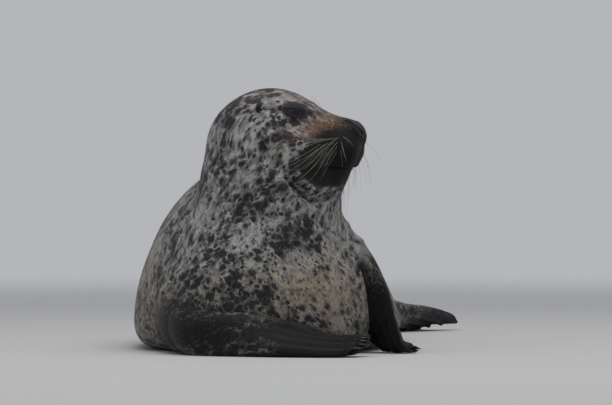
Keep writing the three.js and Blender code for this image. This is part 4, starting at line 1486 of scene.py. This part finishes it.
# A tuft has three points round its root, three near 0.45 of its length and one at its tip. Its tip is at
# root + d L + n (lift L - bend L^2 / 2), where bend is how fast the skin turns away under it.
tuftFaces = np.array([
    (0, 1, 2), (0, 2, 5), (0, 5, 3), (2, 1, 4), (2, 4, 5),
    (1, 0, 3), (1, 3, 4), (3, 5, 6), (5, 4, 6), (4, 3, 6),
])
# Along, across and over as shares of length, half width and thickness, point by point.
tuftPoints = np.array([
    (0, -0.7, 0), (0, 0.7, 0), (0, 0, 0.6), (0.45, -1, 0.1), (0.45, 1, 0.1), (0.42, 0, 1), (1, 0, 0.2),
])


# least + more * draw.
def vary(key, draw):
    least, more = coat["vary"][key]
    return least + more * draw


# All tufts of one piece at once, as arrays of tufts by points. Their flow is the skin's under each point, so
# that they carry the same markings.
def coatPiece(name, drawn, isLimb):
    root, normal = drawn["grid"], drawn["normal"]
    count, corners = len(root), len(tuftPoints)
    along, across, over = tuftPoints.T[:, None]
    length = tuftLength(root, isLimb) * vary("length", random.random(count))
    turn = random.normal(size=(count, 3)) * coat["scatter"]
    down = np.array([0, 0, -coat["droop"]]) * (not isLimb)
    way = drawn["lie"] + turn + down
    way = unit(way - normal * (way * normal).sum(1, keepdims=True))
    right = np.cross(way, normal)
    width = length * coat["width"] * vary("width", random.random(count))
    lift = coat["lift"] * vary("lift", random.random(count) ** 2)
    bend = np.clip(drawn["bend"], *coat["bend"])
    far = along * length[:, None]
    high = far * lift[:, None] - bend[:, None] * far ** 2 / 2 - coat["sink"] * (1 - along)
    high = high + over * (width * coat["thick"])[:, None]
    side = across * width[:, None] / 2
    moved = way[:, None] * far[..., None] + right[:, None] * side[..., None]
    p = offFloor(root[:, None] + moved + normal[:, None] * high[..., None], "hair")
    faces = (tuftFaces[None] + corners * np.arange(count)[:, None, None]).reshape(-1, 3)
    made = {}
    for part in np.unique(drawn["part"]):
        mine = drawn["part"] == part
        found = attributesOf(*(drawn[key][mine] for key in ("grid", "tip", "flow")), part)
        for key, values in found.items():
            made.setdefault(key, np.zeros((count, *values.shape[1:])))[mine] = values
    attributes = {key: np.repeat(values, corners, axis=0) for key, values in made.items()}
    for k, key in enumerate(("lie", "left", "up")):
        attributes["flow"][:, k] += (moved * drawn[key][:, None]).sum(-1).ravel()
    dark, lighter = coat["tipLight"]
    shade = vary("tone", random.random(count))[:, None] * (dark + lighter * along)
    attributes["shade"] = shade.ravel()
    patch = np.stack([tuftPoints[:, 1] * coat["patch"] / 2, (tuftPoints[:, 0] - 0.5) * coat["patch"]], 1)
    uv = (drawn["uv"][:, None] + patch[None]).reshape(-1, 2)
    makeMesh(name, p.reshape(-1, 3), faces, coatHair, attributes, uv)


share = 1
drawn = drawPlaces(["body"], int(coat["tufts"] * share))
order = np.argsort(drawn["order"], kind="stable")
names = ("coatHead", "coatNeck", "coatShoulders", "coatChest", "coatFlanks", "coatRump")
for name, mine in zip(names, np.array_split(order, len(names))):
    coatPiece(name, {key: values[mine] for key, values in drawn.items()}, False)
coatPiece("coatLimbs", drawPlaces(list(limbs), int(coat["limbTufts"] * share)), True)
stage("coat")

studio = {
    "back": (0.46, 0.465, 0.485, 1),
    "floor": (0.50, 0.50, 0.50, 1),
    "floorReach": 60,  # metres
    "floorRoughness": 0.9,
    "floorFade": (1.2, 6.0),  # metres from the seal over which the floor turns into the backdrop
    "ambient": ((0.95, 0.97, 1, 1), 0.30),  # colour and strength
    "lamps": {  # place, aim, width in metres and power
        "key": ((0.3, -1.0, 3.8), (0, 0, 0.1), 4.5, 118),
        "fill": ((-3.0, -2.6, 2.2), (0, 0, 0.2), 3.6, 14),
    },
    "camera": (0, -6000, 220),  # mm, in the seal's own layout
    "lens": 240,
    "sensor": 36,
    "clip": 200,
}
reach = studio["floorReach"]
corners = [(-reach, -reach, 0), (reach, -reach, 0), (reach, reach, 0), (-reach, reach, 0)]
mesh = bpy.data.meshes.new("floor")
mesh.from_pydata(corners, [], [(0, 1, 2, 3)])
floor = bpy.data.objects.new("floor", mesh)
bpy.context.scene.collection.objects.link(floor)
material, tree, surface = newMaterial("Floor")
plug(tree, surface, {"Base Color": studio["floor"], "Roughness": studio["floorRoughness"]})
far = node(tree, "ShaderNodeVectorMath", {0: onObject(tree)}, operation="LENGTH").outputs["Value"]
glow = node(tree, "ShaderNodeEmission", {"Color": studio["back"], "Strength": 1.0}).outputs[0]
plain = tree.nodes["Principled BSDF"].outputs[0]
fade = node(tree, "ShaderNodeMixShader", {0: ramp(tree, far, *studio["floorFade"]), 1: plain, 2: glow})
plug(tree, tree.nodes["Material Output"].inputs, {"Surface": fade.outputs[0]})
mesh.materials.append(material)

# The backdrop is what the camera and reflections see; all other light comes from the ambient colour.
world = bpy.data.worlds.new("Studio")
bpy.context.scene.world = world
world.use_nodes = True
tree = world.node_tree
rays = node(tree, "ShaderNodeLightPath").outputs
seen = maths(tree, "MAXIMUM", rays["Is Glossy Ray"], rays["Is Transmission Ray"])
seen = maths(tree, "MAXIMUM", seen, rays["Is Camera Ray"])
colour, strength = studio["ambient"]
lit = node(tree, "ShaderNodeBackground", {"Color": colour, "Strength": strength}).outputs[0]
shown = node(tree, "ShaderNodeBackground", {"Color": studio["back"], "Strength": 1.0}).outputs[0]
either = node(tree, "ShaderNodeMixShader", {0: seen, 1: lit, 2: shown}).outputs[0]
plug(tree, tree.nodes["World Output"].inputs, {"Surface": either})

for name, (at, aim, width, power) in studio["lamps"].items():
    light = bpy.data.lights.new(name, "AREA")
    light.shape = "DISK"
    light.size = width
    light.energy = power
    lamp = bpy.data.objects.new(name, light)
    way = np.array(aim, float) - np.array(at, float)
    tilt = math.acos(-way[2] / np.linalg.norm(way))
    lamp.location = at
    lamp.rotation_euler = (tilt, 0, math.atan2(way[1], way[0]) - math.pi / 2)
    bpy.context.scene.collection.objects.link(lamp)

lens = bpy.data.cameras.new("camera")
lens.lens = studio["lens"]
lens.sensor_width = studio["sensor"]
lens.clip_end = studio["clip"]
camera = bpy.data.objects.new("camera", lens)
camera.location = place(studio["camera"])
camera.rotation_euler = (math.pi / 2, 0, 0)
bpy.context.scene.collection.objects.link(camera)
bpy.context.scene.camera = camera
bpy.context.scene.view_settings.view_transform = "Standard"

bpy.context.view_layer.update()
stage("all set")
